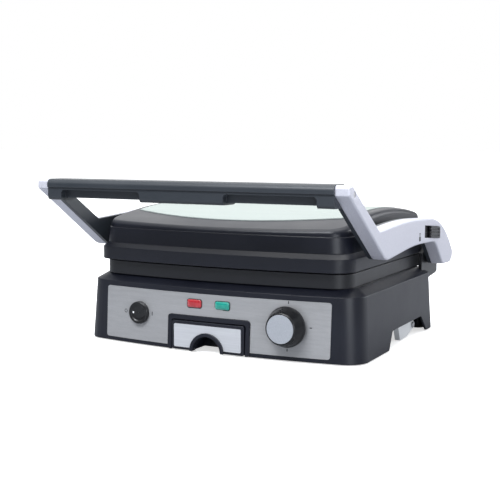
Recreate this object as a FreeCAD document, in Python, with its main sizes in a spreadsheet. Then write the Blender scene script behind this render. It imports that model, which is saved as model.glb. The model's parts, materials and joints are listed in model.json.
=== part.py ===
"""Panini press: a contact grill with a floating ribbed lid between two arms and a front handle.

Frame: millimetres, +Z up, -Y towards the user, X = 0 on the centre plane.
The origin is on the table, under the middle of the whole grill.
"""

import math
import os

import FreeCAD
import Part
import Sketcher
from FreeCAD import Placement, Rotation, Vector

doc = FreeCAD.newDocument("panini_press")
sheet = doc.addObject("Spreadsheet::Sheet", "Sizes")

# ---------------------------------------------------------------- driving sizes, in millimetres
# A size that follows from others is given as a formula, so the pieces around it keep their fit.

SIZES = {
    # base housing: a tapered box with a bowed front and a sloping shoulder under the plates
    "base_bottom": 1.5,
    "base_half_width": 166.3,
    "base_taper": 3.8,
    "base_front": 118.0,
    "base_front_taper": 3.8,
    "base_rear": 147.0,
    "base_rear_taper": 2.0,
    "shoulder_height": 68.0,
    "shoulder_rise": 7.4,
    "shoulder_inset": 11.5,
    "plan_corner": 24.0,
    "lid_rear_corner": 10.0,
    "bow_radius": 944.0,
    "wall": 2.5,
    "fit_gap": 0.3,
    "running_gap": 0.05,
    # stainless front and the controls in it
    "fascia_half_width": "=base_half_width - 31.3",
    "fascia_low": 5.8,
    "fascia_high": "=shoulder_height - 5.4",
    "fascia_sheet": 0.8,
    "fascia_corner": 3.0,
    "notch_half_width": 49.6,
    "notch_height": 39.2,
    "tray_frame_proud": 1.8,
    "knob_offset": "=(notch_half_width + fascia_half_width) / 2 - 4.7",
    "dial_offset": "=knob_offset + 2.7",
    "knob_height": "=(fascia_low + fascia_high) / 2 + 2.2",
    "lamp_offset": 16.7,
    "lamp_height": "=(notch_height + fascia_high) / 2 + 1.1",
    "lamp_width": 18.4,
    "lamp_tall": 10.0,
    "lamp_proud": 1.6,
    "power_knob_radius": 12.2,
    "power_knob_proud": 5.0,
    "dial_radius": 21.0,
    "dial_grip_radius": "=dial_radius - 4.4",
    "dial_skirt": 5.0,
    "dial_proud": 18.4,
    "dial_cap_radius": "=dial_grip_radius - 2",
    "spindle_radius": 3.0,
    # drip tray in the middle of the front
    "tray_half_width": "=notch_half_width - 6.1",
    "tray_low": 1.8,
    "tray_high": "=notch_height - 6.2",
    "tray_length": "=base_front + 52",
    "tray_wall": 1.8,
    "tray_front_depth": 4.0,
    "tray_plate_half_width": "=tray_half_width - 3.3",
    "tray_plate_low": "=tray_low + 3",
    "tray_plate_high": "=tray_high - 3.4",
    "finger_radius": 16.6,
    "finger_rim": 3.8,
    "finger_proud": 3.0,
    "finger_depth": 20.0,
    # arches in the side walls, tilt feet and rubber feet
    "arch_top": 20.7,
    "arch_rear": "=base_rear - 55",
    "arch_front": "=arch_rear - 102",
    "arch_front_spread": 14.0,
    "arch_rear_spread": 20.0,
    "cover_height": "=arch_top + 1.5",
    "cover_sheet": 2.0,
    "tilt_foot_pivot_y": "=arch_rear - 13",
    "tilt_foot_pivot_z": "=arch_top - 8.3",
    "tilt_foot_length": 50.0,
    "tilt_foot_thick": 6.0,
    "foot_radius": 8.0,
    "foot_tall": 4.0,
    # cooking plates
    "plate_half_width": "=base_half_width - 17.7",
    "plate_front": "=base_front - 7",
    "plate_rear": "=base_rear - 4",
    "plate_seat_side": 6.6,
    "plate_seat_front": 13.5,
    "plate_seat_rear": 19.5,
    "plate_tall": 14.6,
    "lip_depth": 4.0,
    "plate_cavity": 6.5,
    "plate_rim": 6.0,
    "rib_tall": 3.6,
    "rib_wide": 4.0,
    "rib_pitch": "=(plate_half_width - 18.6) / 12.5",
    "plate_gap": 2.0,
    "element_radius": 3.3,
    # lid
    "lid_rim_half_width": "=plate_half_width + 3.2",
    "lid_rim_front": "=plate_front + 8",
    "lid_rear": "=plate_rear + 7",
    "lid_rim_tall": 13.5,
    "lid_rim_slope": 5.0,
    "upper_plate_tall": 12.3,
    "lid_half_width": "=lid_rim_half_width - 4.2",
    "lid_taper": 2.4,
    "lid_front": "=lid_rim_front - 5",
    "lid_front_taper": 3.0,
    "lid_low": "=shoulder_height + shoulder_rise + plate_tall + plate_gap",
    "lid_crease": "=lid_low + lid_rim_tall + lid_rim_slope + 16.5",
    "lid_step": 1.8,
    "lid_rear_round": 26.0,
    "dome_top": "=lid_crease + 22",
    "dome_top_y": 32.0,
    "dome_radius": 600.0,
    "dome_edge": 6.0,
    "panel_half_width": "=lid_half_width - 16.6",
    "panel_front": "=lid_front - 34",
    "panel_rear": "=lid_rear - 38",
    "panel_bow": 300.0,
    "panel_sheet": 0.8,
    "lid_pivot_y": "=(lid_rear - lid_front) / 2 - 6",
    "lid_pivot_z": "=lid_crease - 6",
    # arms and handle
    "arm_inner": "=lid_rim_half_width + 11.7",
    "arm_outer": "=arm_inner + 14.5",
    "liner_thick": 4.5,
    "handle_top": "=dome_top + 33.5",
    "handle_front": "=lid_rim_front + 58.5",
    "handle_depth": 30.0,
    "handle_upper_tall": 9.0,
    "handle_lower_tall": 13.2,
    "handle_edge": 6.0,
    "handle_step": 1.6,
    "pocket_inner": 48.0,
    "pocket_outer": "=arm_inner - 17.5",
    "pocket_depth": 9.0,
    "pocket_web": 2.4,
    "core_radius": 4.0,
    "elbow_y": "=26.5 - lid_rim_front",
    "elbow_z": "=lid_crease + 8",
    "hump_z": "=lid_crease + 13.2",
    "hinge_y": "=base_rear + 4",
    "arm_shoulder_y": "=hinge_y - 23",
    "arm_shoulder_z": "=lid_crease + 7.2",
    "arm_band": 29.4,
    "arm_edge": 1.8,
    "pin_radius": 4.0,
    "pin_head_radius": 6.5,
    "bracket_thick": 4.2,
    # slide lock on the right arm
    "lock_low_y": "=hinge_y - 94",
    "lock_high_y": "=lock_low_y + 56.5",
    "lock_z": "=lid_crease - 6.5",
    "lock_tall": 14.0,
    "lock_depth": 3.0,
    "lock_button": 36.0,
    "lock_proud": 1.6,
    "lock_tilt": 5.0,
}

for row, (alias, amount) in enumerate(SIZES.items(), 1):
    sheet.set(f"A{row}", alias)
    sheet.set(f"B{row}", str(amount))
    sheet.setAlias(f"B{row}", alias)
doc.recompute()


class Size:
    """A length with its value and the sheet formula that gives it, so it can be bound."""

    def __init__(self, value, formula):
        self.value = value
        self.formula = formula

    def __add__(self, other):
        return Size(self.value + number(other), f"({self.formula} + {formula(other)})")

    def __sub__(self, other):
        return Size(self.value - number(other), f"({self.formula} - {formula(other)})")

    def __mul__(self, other):
        return Size(self.value * number(other), f"({self.formula} * {formula(other)})")

    def __truediv__(self, other):
        return Size(self.value / number(other), f"({self.formula} / {formula(other)})")

    def __rsub__(self, other):
        return Size(number(other) - self.value, f"({formula(other)} - {self.formula})")

    def __neg__(self):
        return Size(-self.value, f"(0 - {self.formula})")

    __radd__ = __add__
    __rmul__ = __mul__


def number(amount):
    return amount.value if isinstance(amount, Size) else float(amount)


def formula(amount):
    return amount.formula if isinstance(amount, Size) else f"({float(amount)})"


def root(amount):
    return Size(math.sqrt(number(amount)), f"sqrt({formula(amount)})")


class Sheet:
    """Gives each alias of the sheet as a Size: s.wall is the wall thickness."""

    def __getattr__(self, alias):
        return Size(float(sheet.get(alias)), f"Sizes.{alias}")


s = Sheet()


# ---------------------------------------------------------------- helpers that make bound objects


def bind(thing, name, amount):
    thing.setExpression(name, formula(amount))


def move_to(thing, x, y, z):
    for letter, amount in zip("xyz", (x, y, z)):
        bind(thing, f"Placement.Base.{letter}", amount)


def box(name, xs, ys, zs):
    """A Part::Box between two values on each axis."""
    solid = doc.addObject("Part::Box", name)
    for side, (low, high) in zip(("Length", "Width", "Height"), (xs, ys, zs)):
        bind(solid, side, high - low)
    move_to(solid, xs[0], ys[0], zs[0])
    return solid


TURNS = {
    "x": Rotation(Vector(0, 1, 0), 90),
    "y": Rotation(Vector(1, 0, 0), -90),
    "z": Rotation(),
}


def cylinder(name, axis, span, centre, radius):
    """A Part::Cylinder along an axis; centre gives its place on the other two axes."""
    solid = doc.addObject("Part::Cylinder", name)
    bind(solid, "Radius", radius)
    bind(solid, "Height", span[1] - span[0])
    solid.Placement = Placement(Vector(), TURNS[axis])
    place = list(centre)
    place.insert("xyz".index(axis), span[0])
    move_to(solid, *place)
    return solid


def tube(name, axis, span, centre, outer, inner):
    wall = cylinder(f"{name}_outside", axis, span, centre, outer)
    bore = cylinder(f"{name}_bore", axis, span, centre, inner)
    return without(name, wall, bore)


def joined(name, *shapes):
    fused = doc.addObject("Part::MultiFuse", name)
    fused.Shapes = list(shapes)
    return fused


def without(name, base, *tools):
    """Base with each tool cut away in turn."""
    for step, tool in enumerate(tools, 1):
        cut = doc.addObject("Part::Cut", name if step == len(tools) else f"{name}_cut{step}")
        cut.Base = base
        cut.Tool = tool
        base = cut
    return base


def shared(name, first, second):
    both = doc.addObject("Part::Common", name)
    both.Base = first
    both.Tool = second
    return both


def mirrored(name, source):
    """The same solid on the other side of the centre plane."""
    copy = doc.addObject("Part::Mirroring", name)
    copy.Source = source
    copy.Normal = Vector(1, 0, 0)
    return copy


def both_sides(name, right):
    return joined(name, right, mirrored(f"{name}_left_half", right))


nodes = {}


def keep(label, solid):
    """Names the finished sub-part; its label is its file name."""
    solid.Label = label
    nodes[label] = solid
    return solid


def origin_plane(body, role):
    return next(plane for plane in body.Origin.OriginFeatures if plane.Role == role)


def new_sketch(body, name, role, offset):
    sketch = body.newObject("Sketcher::SketchObject", name)
    sketch.AttachmentSupport = (origin_plane(body, role), [""])
    sketch.MapMode = "FlatFace"
    bind(sketch, "AttachmentOffset.Base.z", offset)
    return sketch


def arc_between(start, end, radius):
    """Arc from start to end; a positive radius bulges to the right of the way from start to end."""
    chord = end - start
    rise = math.sqrt(max(radius**2 - chord.Length**2 / 4, 0.0))
    left = Vector(-chord.y, chord.x, 0).normalize()
    centre = (start + end) / 2 + left * math.copysign(rise, radius)
    circle = Part.Circle(centre, Vector(0, 0, 1), abs(radius))
    first, last = (start, end) if radius > 0 else (end, start)
    angles = [math.atan2(p.y - centre.y, p.x - centre.x) for p in (first, last)]
    return Part.ArcOfCircle(circle, *angles)


def outline(sketch, corners, radii=None, closed=True):
    """Lines through bound corners; an edge with a radius is an arc (negative: hollow)."""
    radii = radii or [None] * len(corners)
    points = [Vector(number(x), number(y), 0) for x, y in corners]
    edges = len(corners) if closed else len(corners) - 1
    ends = []
    for edge in range(edges):
        start, end = points[edge], points[(edge + 1) % len(points)]
        radius = radii[edge]
        if radius is None:
            sketch.addGeometry(Part.LineSegment(start, end), False)
        else:
            sketch.addGeometry(arc_between(start, end, number(radius)), False)
        ends.append((2, 1) if radius is not None and number(radius) < 0 else (1, 2))
    for edge in range(edges):
        if closed or edge:
            before = (edge - 1) % edges
            sketch.addConstraint(
                Sketcher.Constraint("Coincident", before, ends[before][1], edge, ends[edge][0])
            )
    for corner, (x, y) in enumerate(corners):
        edge = min(corner, edges - 1)
        point = ends[edge][0] if corner == edge else ends[edge][1]
        for kind, amount in (("DistanceX", x), ("DistanceY", y)):
            rule = Sketcher.Constraint(kind, -1, 1, edge, point, number(amount))
            bind(sketch, f"Constraints[{sketch.addConstraint(rule)}]", amount)
    for edge in range(edges):
        if radii[edge] is not None:
            size = radii[edge] if number(radii[edge]) > 0 else 0 - radii[edge]
            rule = Sketcher.Constraint("Radius", edge, number(size))
            bind(sketch, f"Constraints[{sketch.addConstraint(rule)}]", size)


ROLES = {"x": "YZ_Plane", "y": "XZ_Plane", "z": "XY_Plane"}


def prism(name, axis, span, corners, radii=None):
    """A padded body: the outline drawn across an axis, between two values along it.

    Corners are (y, z) across x, (x, z) across y and (x, y) across z.
    """
    body = doc.addObject("PartDesign::Body", name)
    offset = -span[1] if axis == "y" else span[0]
    sketch = new_sketch(body, f"{name}_outline", ROLES[axis], offset)
    outline(sketch, corners, radii)
    pad = body.newObject("PartDesign::Pad", f"{name}_pad")
    pad.Profile = sketch
    bind(pad, "Length", span[1] - span[0])
    doc.recompute()
    return body


def rounded(body, radius, axis, corners):
    """Fillets the edges of a prism that run along its axis through the given corners."""
    base = body.Tip
    across = ["xyz".index(letter) for letter in "xyz" if letter != axis]
    wanted = [(number(a), number(b)) for a, b in corners]
    names = []
    for index, edge in enumerate(base.Shape.Edges, 1):
        first, last = edge.Vertexes[0].Point, edge.Vertexes[-1].Point
        along = [abs(first[i] - last[i]) < 1e-4 for i in across]
        if len(edge.Vertexes) == 2 and all(along):
            place = [first[i] for i in across]
            if any(math.dist(place, corner) < 1e-3 for corner in wanted):
                names.append(f"Edge{index}")
    fillet = body.newObject("PartDesign::Fillet", f"{body.Name}_round")
    fillet.Base = (base, names)
    bind(fillet, "Radius", radius)
    doc.recompute()
    return body


def soften_face(body, radius, axis, place):
    """Fillets the whole border of the face that lies across an axis at a place."""
    base = body.Tip
    face = next(
        f"Face{index}"
        for index, face in enumerate(base.Shape.Faces, 1)
        if abs(getattr(face.BoundBox, f"{axis.upper()}Min") - number(place)) < 1e-4
    )
    fillet = body.newObject("PartDesign::Fillet", f"{body.Name}_soft_{axis}")
    fillet.Base = (base, [face])
    bind(fillet, "Radius", radius)
    doc.recompute()
    return body


def rectangle(low_x, high_x, low_y, high_y, corner):
    """Corners and radii of a rectangle with rounded corners, from its lower left."""
    points = [
        (low_x + corner, low_y),
        (high_x - corner, low_y),
        (high_x, low_y + corner),
        (high_x, high_y - corner),
        (high_x - corner, high_y),
        (low_x + corner, high_y),
        (low_x, high_y - corner),
        (low_x, low_y + corner),
    ]
    return points, [None, corner] * 4


def bowed_plan(half_width, front, rear, corner, rear_corner=None):
    """Plan outline: straight sides and rear, bowed front, rounded corners, all tangent."""
    rear_corner = rear_corner or corner
    across = half_width - corner
    centre_y = s.bow_radius - front
    reach = root((s.bow_radius - corner) * (s.bow_radius - corner) - across * across)
    stretch = s.bow_radius / (s.bow_radius - corner)
    bow_x, bow_y = across * stretch, centre_y - reach * stretch
    side_y = centre_y - reach
    points = [
        (-bow_x, bow_y),
        (bow_x, bow_y),
        (half_width, side_y),
        (half_width, rear - rear_corner),
        (half_width - rear_corner, rear),
        (rear_corner - half_width, rear),
        (-half_width, rear - rear_corner),
        (-half_width, side_y),
    ]
    return points, [s.bow_radius, corner, None, rear_corner, None, rear_corner, None, corner]


def block(name, *sections):
    """A body lofted through plan sections (z, half width, front, rear, corner radii)."""
    body = doc.addObject("PartDesign::Body", name)
    sketches = []
    for level, (z, *plan) in enumerate(sections):
        sketch = new_sketch(body, f"{name}_plan{level}", "XY_Plane", z)
        outline(sketch, *bowed_plan(*plan))
        sketches.append(sketch)
    loft = body.newObject("PartDesign::AdditiveLoft", f"{name}_loft")
    loft.Profile = sketches[0]
    loft.Sections = sketches[1:]
    loft.Ruled = True
    doc.recompute()
    return body


def bent_rod(name, path, radii, z, radius):
    """A round rod swept along an open path in a level plane; it starts towards -Y."""
    body = doc.addObject("PartDesign::Body", name)
    spine = new_sketch(body, f"{name}_path", "XY_Plane", z)
    outline(spine, path, radii, closed=False)
    profile = new_sketch(body, f"{name}_section", "XZ_Plane", -path[0][1])
    circle = Part.Circle(Vector(number(path[0][0]), number(z), 0), Vector(0, 0, 1), number(radius))
    profile.addGeometry(circle, False)
    rules = (("DistanceX", path[0][0]), ("DistanceY", z))
    for kind, amount in rules:
        rule = Sketcher.Constraint(kind, -1, 1, 0, 3, number(amount))
        bind(profile, f"Constraints[{profile.addConstraint(rule)}]", amount)
    rule = Sketcher.Constraint("Radius", 0, number(radius))
    bind(profile, f"Constraints[{profile.addConstraint(rule)}]", radius)
    pipe = body.newObject("PartDesign::AdditivePipe", f"{name}_sweep")
    pipe.Profile = profile
    pipe.Spine = spine
    doc.recompute()
    return body


# ---------------------------------------------------------------- places worked out from the sizes

shoulder_top = s.shoulder_height + s.shoulder_rise
shoulder_half_width = s.base_half_width - s.base_taper
top_half_width = shoulder_half_width - s.shoulder_inset
plate_top = shoulder_top + s.plate_tall
lid_bottom = plate_top + s.plate_gap
hinge_z = (s.handle_top + 1.3) / 2
liner_inner = s.arm_inner - s.liner_thick
bracket_outer = liner_inner - s.fit_gap * 5
bracket_inner = bracket_outer - s.bracket_thick


def bow_at(x, front):
    """Y of the bowed front face at a distance x from the centre."""
    return s.bow_radius - front - root(s.bow_radius * s.bow_radius - x * x)


def front_at(z):
    """Depth of the tapered front at a height, before the bow is taken off."""
    fall = (s.shoulder_height - z) / (s.shoulder_height - s.base_bottom)
    return s.base_front + s.base_front_taper * fall


def side_at(z):
    """Half width of the tapered side wall at a height."""
    fall = (s.shoulder_height - z) / (s.shoulder_height - s.base_bottom)
    return s.base_half_width - s.base_taper + s.base_taper * fall


def clear_of_fascia(x, z, radius):
    """Y just in front of the bowed, leaning fascia all over a disc centred at x, z."""
    foremost = bow_at(x - radius * 0.8, front_at(z - radius * 0.6))
    return foremost - s.fascia_sheet - s.fit_gap


def base_sections(inset, extra_front):
    """The housing's outer sections, moved in by inset and forward by extra_front."""
    return (
        (
            s.base_bottom,
            s.base_half_width - inset,
            s.base_front + s.base_front_taper - inset + extra_front,
            s.base_rear + s.base_rear_taper - inset,
            s.plan_corner - inset,
        ),
        (
            s.shoulder_height,
            shoulder_half_width - inset,
            s.base_front - inset + extra_front,
            s.base_rear - inset,
            s.plan_corner - inset,
        ),
    )


# ---------------------------------------------------------------- base housing

base_outside = block("base_outside", *base_sections(0, 0))
shoulder_outside = block(
    "shoulder_outside",
    (s.shoulder_height, shoulder_half_width, s.base_front, s.base_rear, s.plan_corner),
    (
        shoulder_top,
        top_half_width,
        s.base_front - s.shoulder_inset,
        s.base_rear - s.shoulder_inset,
        s.plan_corner - s.shoulder_inset / 2,
    ),
)
housing_outside = joined("housing_outside", base_outside, shoulder_outside)
cavity = block("base_cavity", *base_sections(s.wall, 0))
well_half_width = s.plate_half_width - s.plate_seat_side
well_front = s.plate_front - s.plate_seat_front
well_rear = s.plate_rear - s.plate_seat_rear
chute_radius = 6.0
chute_y = chute_radius + 2 - well_front
well = block(
    "element_well",
    (s.shoulder_height - 4, well_half_width, well_front, well_rear, s.plan_corner / 2),
    (shoulder_top + 1, well_half_width, well_front, well_rear, s.plan_corner / 2),
)
arch = prism(
    "side_arch",
    "x",
    (-s.base_half_width - 5, s.base_half_width + 5),
    [
        (s.arch_front - s.arch_front_spread, 0),
        (s.arch_rear + s.arch_rear_spread, 0),
        (s.arch_rear, s.arch_top),
        (s.arch_front, s.arch_top),
    ],
)
rounded(arch, 5, "x", [(s.arch_rear, s.arch_top), (s.arch_front, s.arch_top)])

tray_opening_half = s.tray_half_width + 1
tray_opening_top = s.tray_high + 1
front_reach = (-s.base_front - 20, -s.base_front + 20)
tray_opening = prism(
    "tray_opening",
    "y",
    front_reach,
    *rectangle(
        -tray_opening_half, tray_opening_half, s.base_bottom - 8, tray_opening_top, 3
    ),
)


def front_bore(name, x, z, radius):
    return cylinder(name, "y", front_reach, (x, z), radius)


def lamp_hole(name, x):
    half = s.lamp_width / 2 - 1.2
    tall = s.lamp_tall / 2 - 1.2
    corners = rectangle(x - half, x + half, s.lamp_height - tall, s.lamp_height + tall, 1.5)
    return prism(name, "y", front_reach, *corners)


spindle_hole = s.spindle_radius + 1
power_hole = front_bore("power_hole", -s.knob_offset, s.knob_height, spindle_hole)
dial_hole = front_bore("dial_hole", s.dial_offset, s.knob_height, spindle_hole)
red_hole = lamp_hole("red_hole", -s.lamp_offset)
green_hole = lamp_hole("green_hole", s.lamp_offset)

# The hinge bracket is a steel ear that stands up through the rear corner of the housing.
ear_corners = [
    (s.base_rear - 32, s.cover_height + s.cover_sheet + 6),
    (s.base_rear - 5, s.cover_height + s.cover_sheet + 6),
    (s.base_rear - 5, s.shoulder_height - 8),
    (s.hinge_y + 26, s.shoulder_height - 5),
    (s.hinge_y + 26, hinge_z - 10),
    (s.hinge_y + 12, hinge_z + 11),
    (s.hinge_y - 10, hinge_z + 11),
    (s.base_rear - 30, hinge_z),
    (s.base_rear - 32, shoulder_top + 3),
]
ear = prism("ear_blank", "x", (bracket_inner, bracket_outer), ear_corners)
rounded(ear, 9, "x", ear_corners[5:7])
rounded(ear, 4, "x", ear_corners[3:5])
pin_hole = cylinder(
    "ear_pin_hole",
    "x",
    (bracket_inner - 5, bracket_outer + 5),
    (s.hinge_y, hinge_z),
    s.pin_radius,
)
SCREW_RADIUS = 1.7
bracket_screw_places = [
    (s.base_rear - 24, s.shoulder_height - 14),
    (s.base_rear - 24, s.cover_height + 16),
]
bracket_bores = [
    cylinder(
        f"bracket_bore{number_of}",
        "x",
        (bracket_inner - 3, shoulder_half_width - s.wall + 1),
        place,
        SCREW_RADIUS,
    )
    for number_of, place in enumerate(bracket_screw_places, 1)
]
bracket_bosses = [
    cylinder(
        f"bracket_boss{number_of}",
        "x",
        (bracket_outer, side_at(place[1]) - s.wall / 2),
        place,
        4.5,
    )
    for number_of, place in enumerate(bracket_screw_places, 1)
]
right_bracket = without("right_bracket", ear, pin_hole, *bracket_bores)
keep("hinge_brackets", both_sides("hinge_brackets", right_bracket))

gland_y = (s.base_rear - s.wall - 4, s.base_rear + 8)
gland_z = s.shoulder_height / 2
gland_x = s.base_half_width / 3
gland_hole = cylinder("gland_hole", "y", gland_y, (gland_x, gland_z), 6)

cover_screw_places = [
    (well_half_width + 7.5, 58 - s.base_front),
    (well_half_width + 7.5, s.arch_rear + 4),
]
screw_posts = [
    tube(
        f"screw_post{i}",
        "z",
        (s.cover_height + s.cover_sheet, s.shoulder_height),
        place,
        5,
        SCREW_RADIUS,
    )
    for i, place in enumerate(cover_screw_places, 1)
]

tray_frame = without(
    "tray_frame",
    shared(
        "tray_frame_blank",
        block("tray_frame_skin", *base_sections(0, s.tray_frame_proud)),
        prism(
            "tray_frame_field",
            "y",
            front_reach,
            *rectangle(
                -s.notch_half_width + s.fit_gap,
                s.notch_half_width - s.fit_gap,
                s.base_bottom,
                s.notch_height - s.fit_gap,
                3,
            ),
        ),
    ),
    cavity,
)
outside = joined("housing_with_frame", housing_outside, tray_frame)
shell = without("housing_shell", outside, cavity, well, arch, tray_opening)
bosses = joined("boss_half", *bracket_bosses, *screw_posts)
shell = joined("housing_with_bosses", shell, both_sides("housing_bosses", bosses))
ear_slots = both_sides("ear_slots", ear)
boss_bores = both_sides("boss_bores", joined("boss_bores_half", *bracket_bores))
base_housing = without(
    "base_housing",
    shell,
    ear_slots,
    boss_bores,
    power_hole,
    dial_hole,
    red_hole,
    green_hole,
    gland_hole,
)
keep("base_housing", base_housing)

# ---------------------------------------------------------------- stainless fascia

fascia_skin = without(
    "fascia_skin",
    block("fascia_outer", *base_sections(0, s.fascia_sheet)),
    base_outside,
)
fascia_window = without(
    "fascia_window",
    prism(
        "fascia_field",
        "y",
        front_reach,
        *rectangle(
            -s.fascia_half_width,
            s.fascia_half_width,
            s.fascia_low,
            s.fascia_high,
            s.fascia_corner,
        ),
    ),
    prism(
        "fascia_notch",
        "y",
        front_reach,
        *rectangle(
            -s.notch_half_width, s.notch_half_width, -s.notch_height, s.notch_height, 4
        ),
    ),
)
fascia_sheet = shared("fascia_blank", fascia_skin, fascia_window)
keep(
    "front_fascia",
    without("front_fascia", fascia_sheet, power_hole, dial_hole, red_hole, green_hole),
)

# ---------------------------------------------------------------- lamps


def lens(name, x):
    """A light-pipe lens: a rounded flange outside the fascia and a stem through its hole."""
    half = s.lamp_width / 2
    tall = s.lamp_tall / 2
    face_y = bow_at(s.lamp_offset - half, front_at(s.lamp_height - tall)) - s.fascia_sheet
    front = (face_y - s.lamp_proud, face_y)
    flange = prism(
        f"{name}_flange",
        "y",
        front,
        *rectangle(x - half, x + half, s.lamp_height - tall, s.lamp_height + tall, 2.4),
    )
    stem_half = half - 1.2 - s.fit_gap / 2
    stem_tall = tall - 1.2 - s.fit_gap / 2
    stem = prism(
        f"{name}_stem",
        "y",
        (face_y, face_y + 8),
        *rectangle(
            x - stem_half,
            x + stem_half,
            s.lamp_height - stem_tall,
            s.lamp_height + stem_tall,
            1.4,
        ),
    )
    return joined(name, flange, stem)


keep("red_lamp_lens", lens("red_lamp_lens", -s.lamp_offset))
keep("green_lamp_lens", lens("green_lamp_lens", s.lamp_offset))
neon_y = bow_at(s.lamp_offset, s.base_front) + 8
neon = cylinder(
    "neon", "y", (neon_y, neon_y + 16), (s.lamp_offset, s.lamp_height), 2.6
)
keep("neon_lamps", both_sides("neon_lamps", neon))

# ---------------------------------------------------------------- switch, thermostat and their knobs

control_y = bow_at(s.knob_offset, s.base_front - s.wall) + 1.0


def control_body(name, x, half, depth):
    """The switch or thermostat behind the wall, with a hole for its spindle."""
    case = box(
        f"{name}_case",
        (x - half, x + half),
        (control_y + 4, control_y + 4 + depth),
        (s.cover_height + s.cover_sheet + s.fit_gap, s.knob_height + half * 0.9),
    )
    nose = cylinder(f"{name}_nose", "y", (control_y, control_y + 4), (x, s.knob_height), 7)
    bore = cylinder(
        f"{name}_bore",
        "y",
        (control_y - 1, control_y + depth),
        (x, s.knob_height),
        s.spindle_radius + s.running_gap,
    )
    return without(name, joined(f"{name}_solid", case, nose), bore)


keep("power_switch", control_body("power_switch", -s.knob_offset, 13, 20))
keep("thermostat", control_body("thermostat", s.dial_offset, 16, 24))

knob_face_y = bow_at(s.knob_offset, front_at(s.knob_height)) - s.fascia_sheet


def spindle(name, x, back):
    return cylinder(name, "y", (back, control_y + 14), (x, s.knob_height), s.spindle_radius)


power_back = clear_of_fascia(s.knob_offset, s.knob_height, s.power_knob_radius)
power_span = (knob_face_y - s.power_knob_proud, power_back)
power_disc = cylinder(
    "power_disc",
    "y",
    power_span,
    (-s.knob_offset, s.knob_height),
    s.power_knob_radius,
)
POWER_DISH = 1.2
POWER_RIM = 1.6
power_dish = cylinder(
    "power_dish",
    "y",
    (power_span[0] - 1, power_span[0] + POWER_DISH),
    (-s.knob_offset, s.knob_height),
    s.power_knob_radius - POWER_RIM,
)
keep(
    "power_knob",
    joined(
        "power_knob",
        without("power_knob_dished", power_disc, power_dish),
        spindle("power_spindle", -s.knob_offset, power_back - 1),
    ),
)
DOT_RADIUS = 1.1
DOT_PROUD = 0.4
power_face_y = power_span[0] + POWER_DISH
keep(
    "power_knob_dot",
    cylinder(
        "power_knob_dot",
        "y",
        (power_face_y - DOT_PROUD, power_face_y),
        (-s.knob_offset - s.power_knob_radius * 0.55, s.knob_height),
        DOT_RADIUS,
    ),
)

dial_back = clear_of_fascia(s.dial_offset, s.knob_height, s.dial_radius)
dial_front = knob_face_y - s.dial_proud
DIAL_BEVEL = 1.0
CAP_SEAT = 0.6
CAP_PROUD = 0.4
dial = doc.addObject("PartDesign::Body", "thermostat_knob_turned")
dial_profile = new_sketch(dial, "thermostat_knob_profile", "YZ_Plane", s.dial_offset)
outline(
    dial_profile,
    [
        (dial_front, s.knob_height),
        (dial_back, s.knob_height),
        (dial_back, s.knob_height + s.dial_radius),
        (dial_back - s.dial_skirt * 0.5, s.knob_height + s.dial_radius),
        (dial_back - s.dial_skirt, s.knob_height + s.dial_radius - 1.4),
        (dial_front + DIAL_BEVEL, s.knob_height + s.dial_grip_radius),
        (dial_front, s.knob_height + s.dial_grip_radius - DIAL_BEVEL),
    ],
)
turned = dial.newObject("PartDesign::Revolution", "thermostat_knob_turn")
turned.Profile = dial_profile
turned.ReferenceAxis = (dial_profile, ["Edge1"])
turned.Angle = 360
doc.recompute()
cap_seat = cylinder(
    "cap_seat",
    "y",
    (dial_front - 1, dial_front + CAP_SEAT),
    (s.dial_offset, s.knob_height),
    s.dial_cap_radius,
)
dial_core = without("thermostat_knob_core", dial, cap_seat)
keep(
    "thermostat_knob",
    joined(
        "thermostat_knob",
        dial_core,
        spindle("dial_spindle", s.dial_offset, dial_back - 1),
    ),
)
keep(
    "thermostat_knob_cap",
    cylinder(
        "thermostat_knob_cap",
        "y",
        (dial_front - CAP_PROUD, dial_front + CAP_SEAT),
        (s.dial_offset, s.knob_height),
        s.dial_cap_radius,
    ),
)

# ---------------------------------------------------------------- drip tray

tray_face_y = -s.base_front - s.base_front_taper - s.fascia_sheet
tray_front_back = tray_face_y + s.tray_front_depth
tray_rear = tray_front_back + s.tray_length
tray_blank = box(
    "tray_blank",
    (-s.tray_half_width + 1, s.tray_half_width - 1),
    (tray_front_back, tray_rear),
    (s.tray_low + 1, s.tray_high - 5),
)
tray_hollow = box(
    "tray_hollow",
    (-s.tray_half_width + 1 + s.tray_wall, s.tray_half_width - 1 - s.tray_wall),
    (tray_front_back + s.tray_wall, tray_rear - s.tray_wall),
    (s.tray_low + 1 + s.tray_wall, s.tray_high),
)
lip_low = s.tray_high - 5 - s.tray_wall
tray_lip_half = s.tray_half_width + 0.7
tray_lip = box(
    "tray_lip",
    (-tray_lip_half, tray_lip_half),
    (tray_front_back, tray_rear),
    (lip_low, s.tray_high - 5),
)
pocket_back = tray_front_back + s.finger_depth
pocket_shroud = cylinder(
    "finger_pocket_shroud",
    "y",
    (tray_front_back, pocket_back + s.tray_wall),
    (0, s.tray_low),
    s.finger_radius + s.tray_wall,
)
shroud_keep = box(
    "finger_shroud_keep",
    (-s.tray_half_width + 1, s.tray_half_width - 1),
    (tray_front_back, tray_rear),
    (s.tray_low + 1, s.tray_high - 5),
)
pocket_bore = cylinder(
    "finger_pocket_bore",
    "y",
    (tray_face_y - 3, pocket_back),
    (0, s.tray_low),
    s.finger_radius,
)
tray_bin = without("tray_bin", joined("tray_with_lip", tray_blank, tray_lip), tray_hollow)
shroud = shared("finger_shroud", pocket_shroud, shroud_keep)
keep("drip_tray", without("drip_tray", joined("tray_with_shroud", tray_bin, shroud), pocket_bore))

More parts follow.
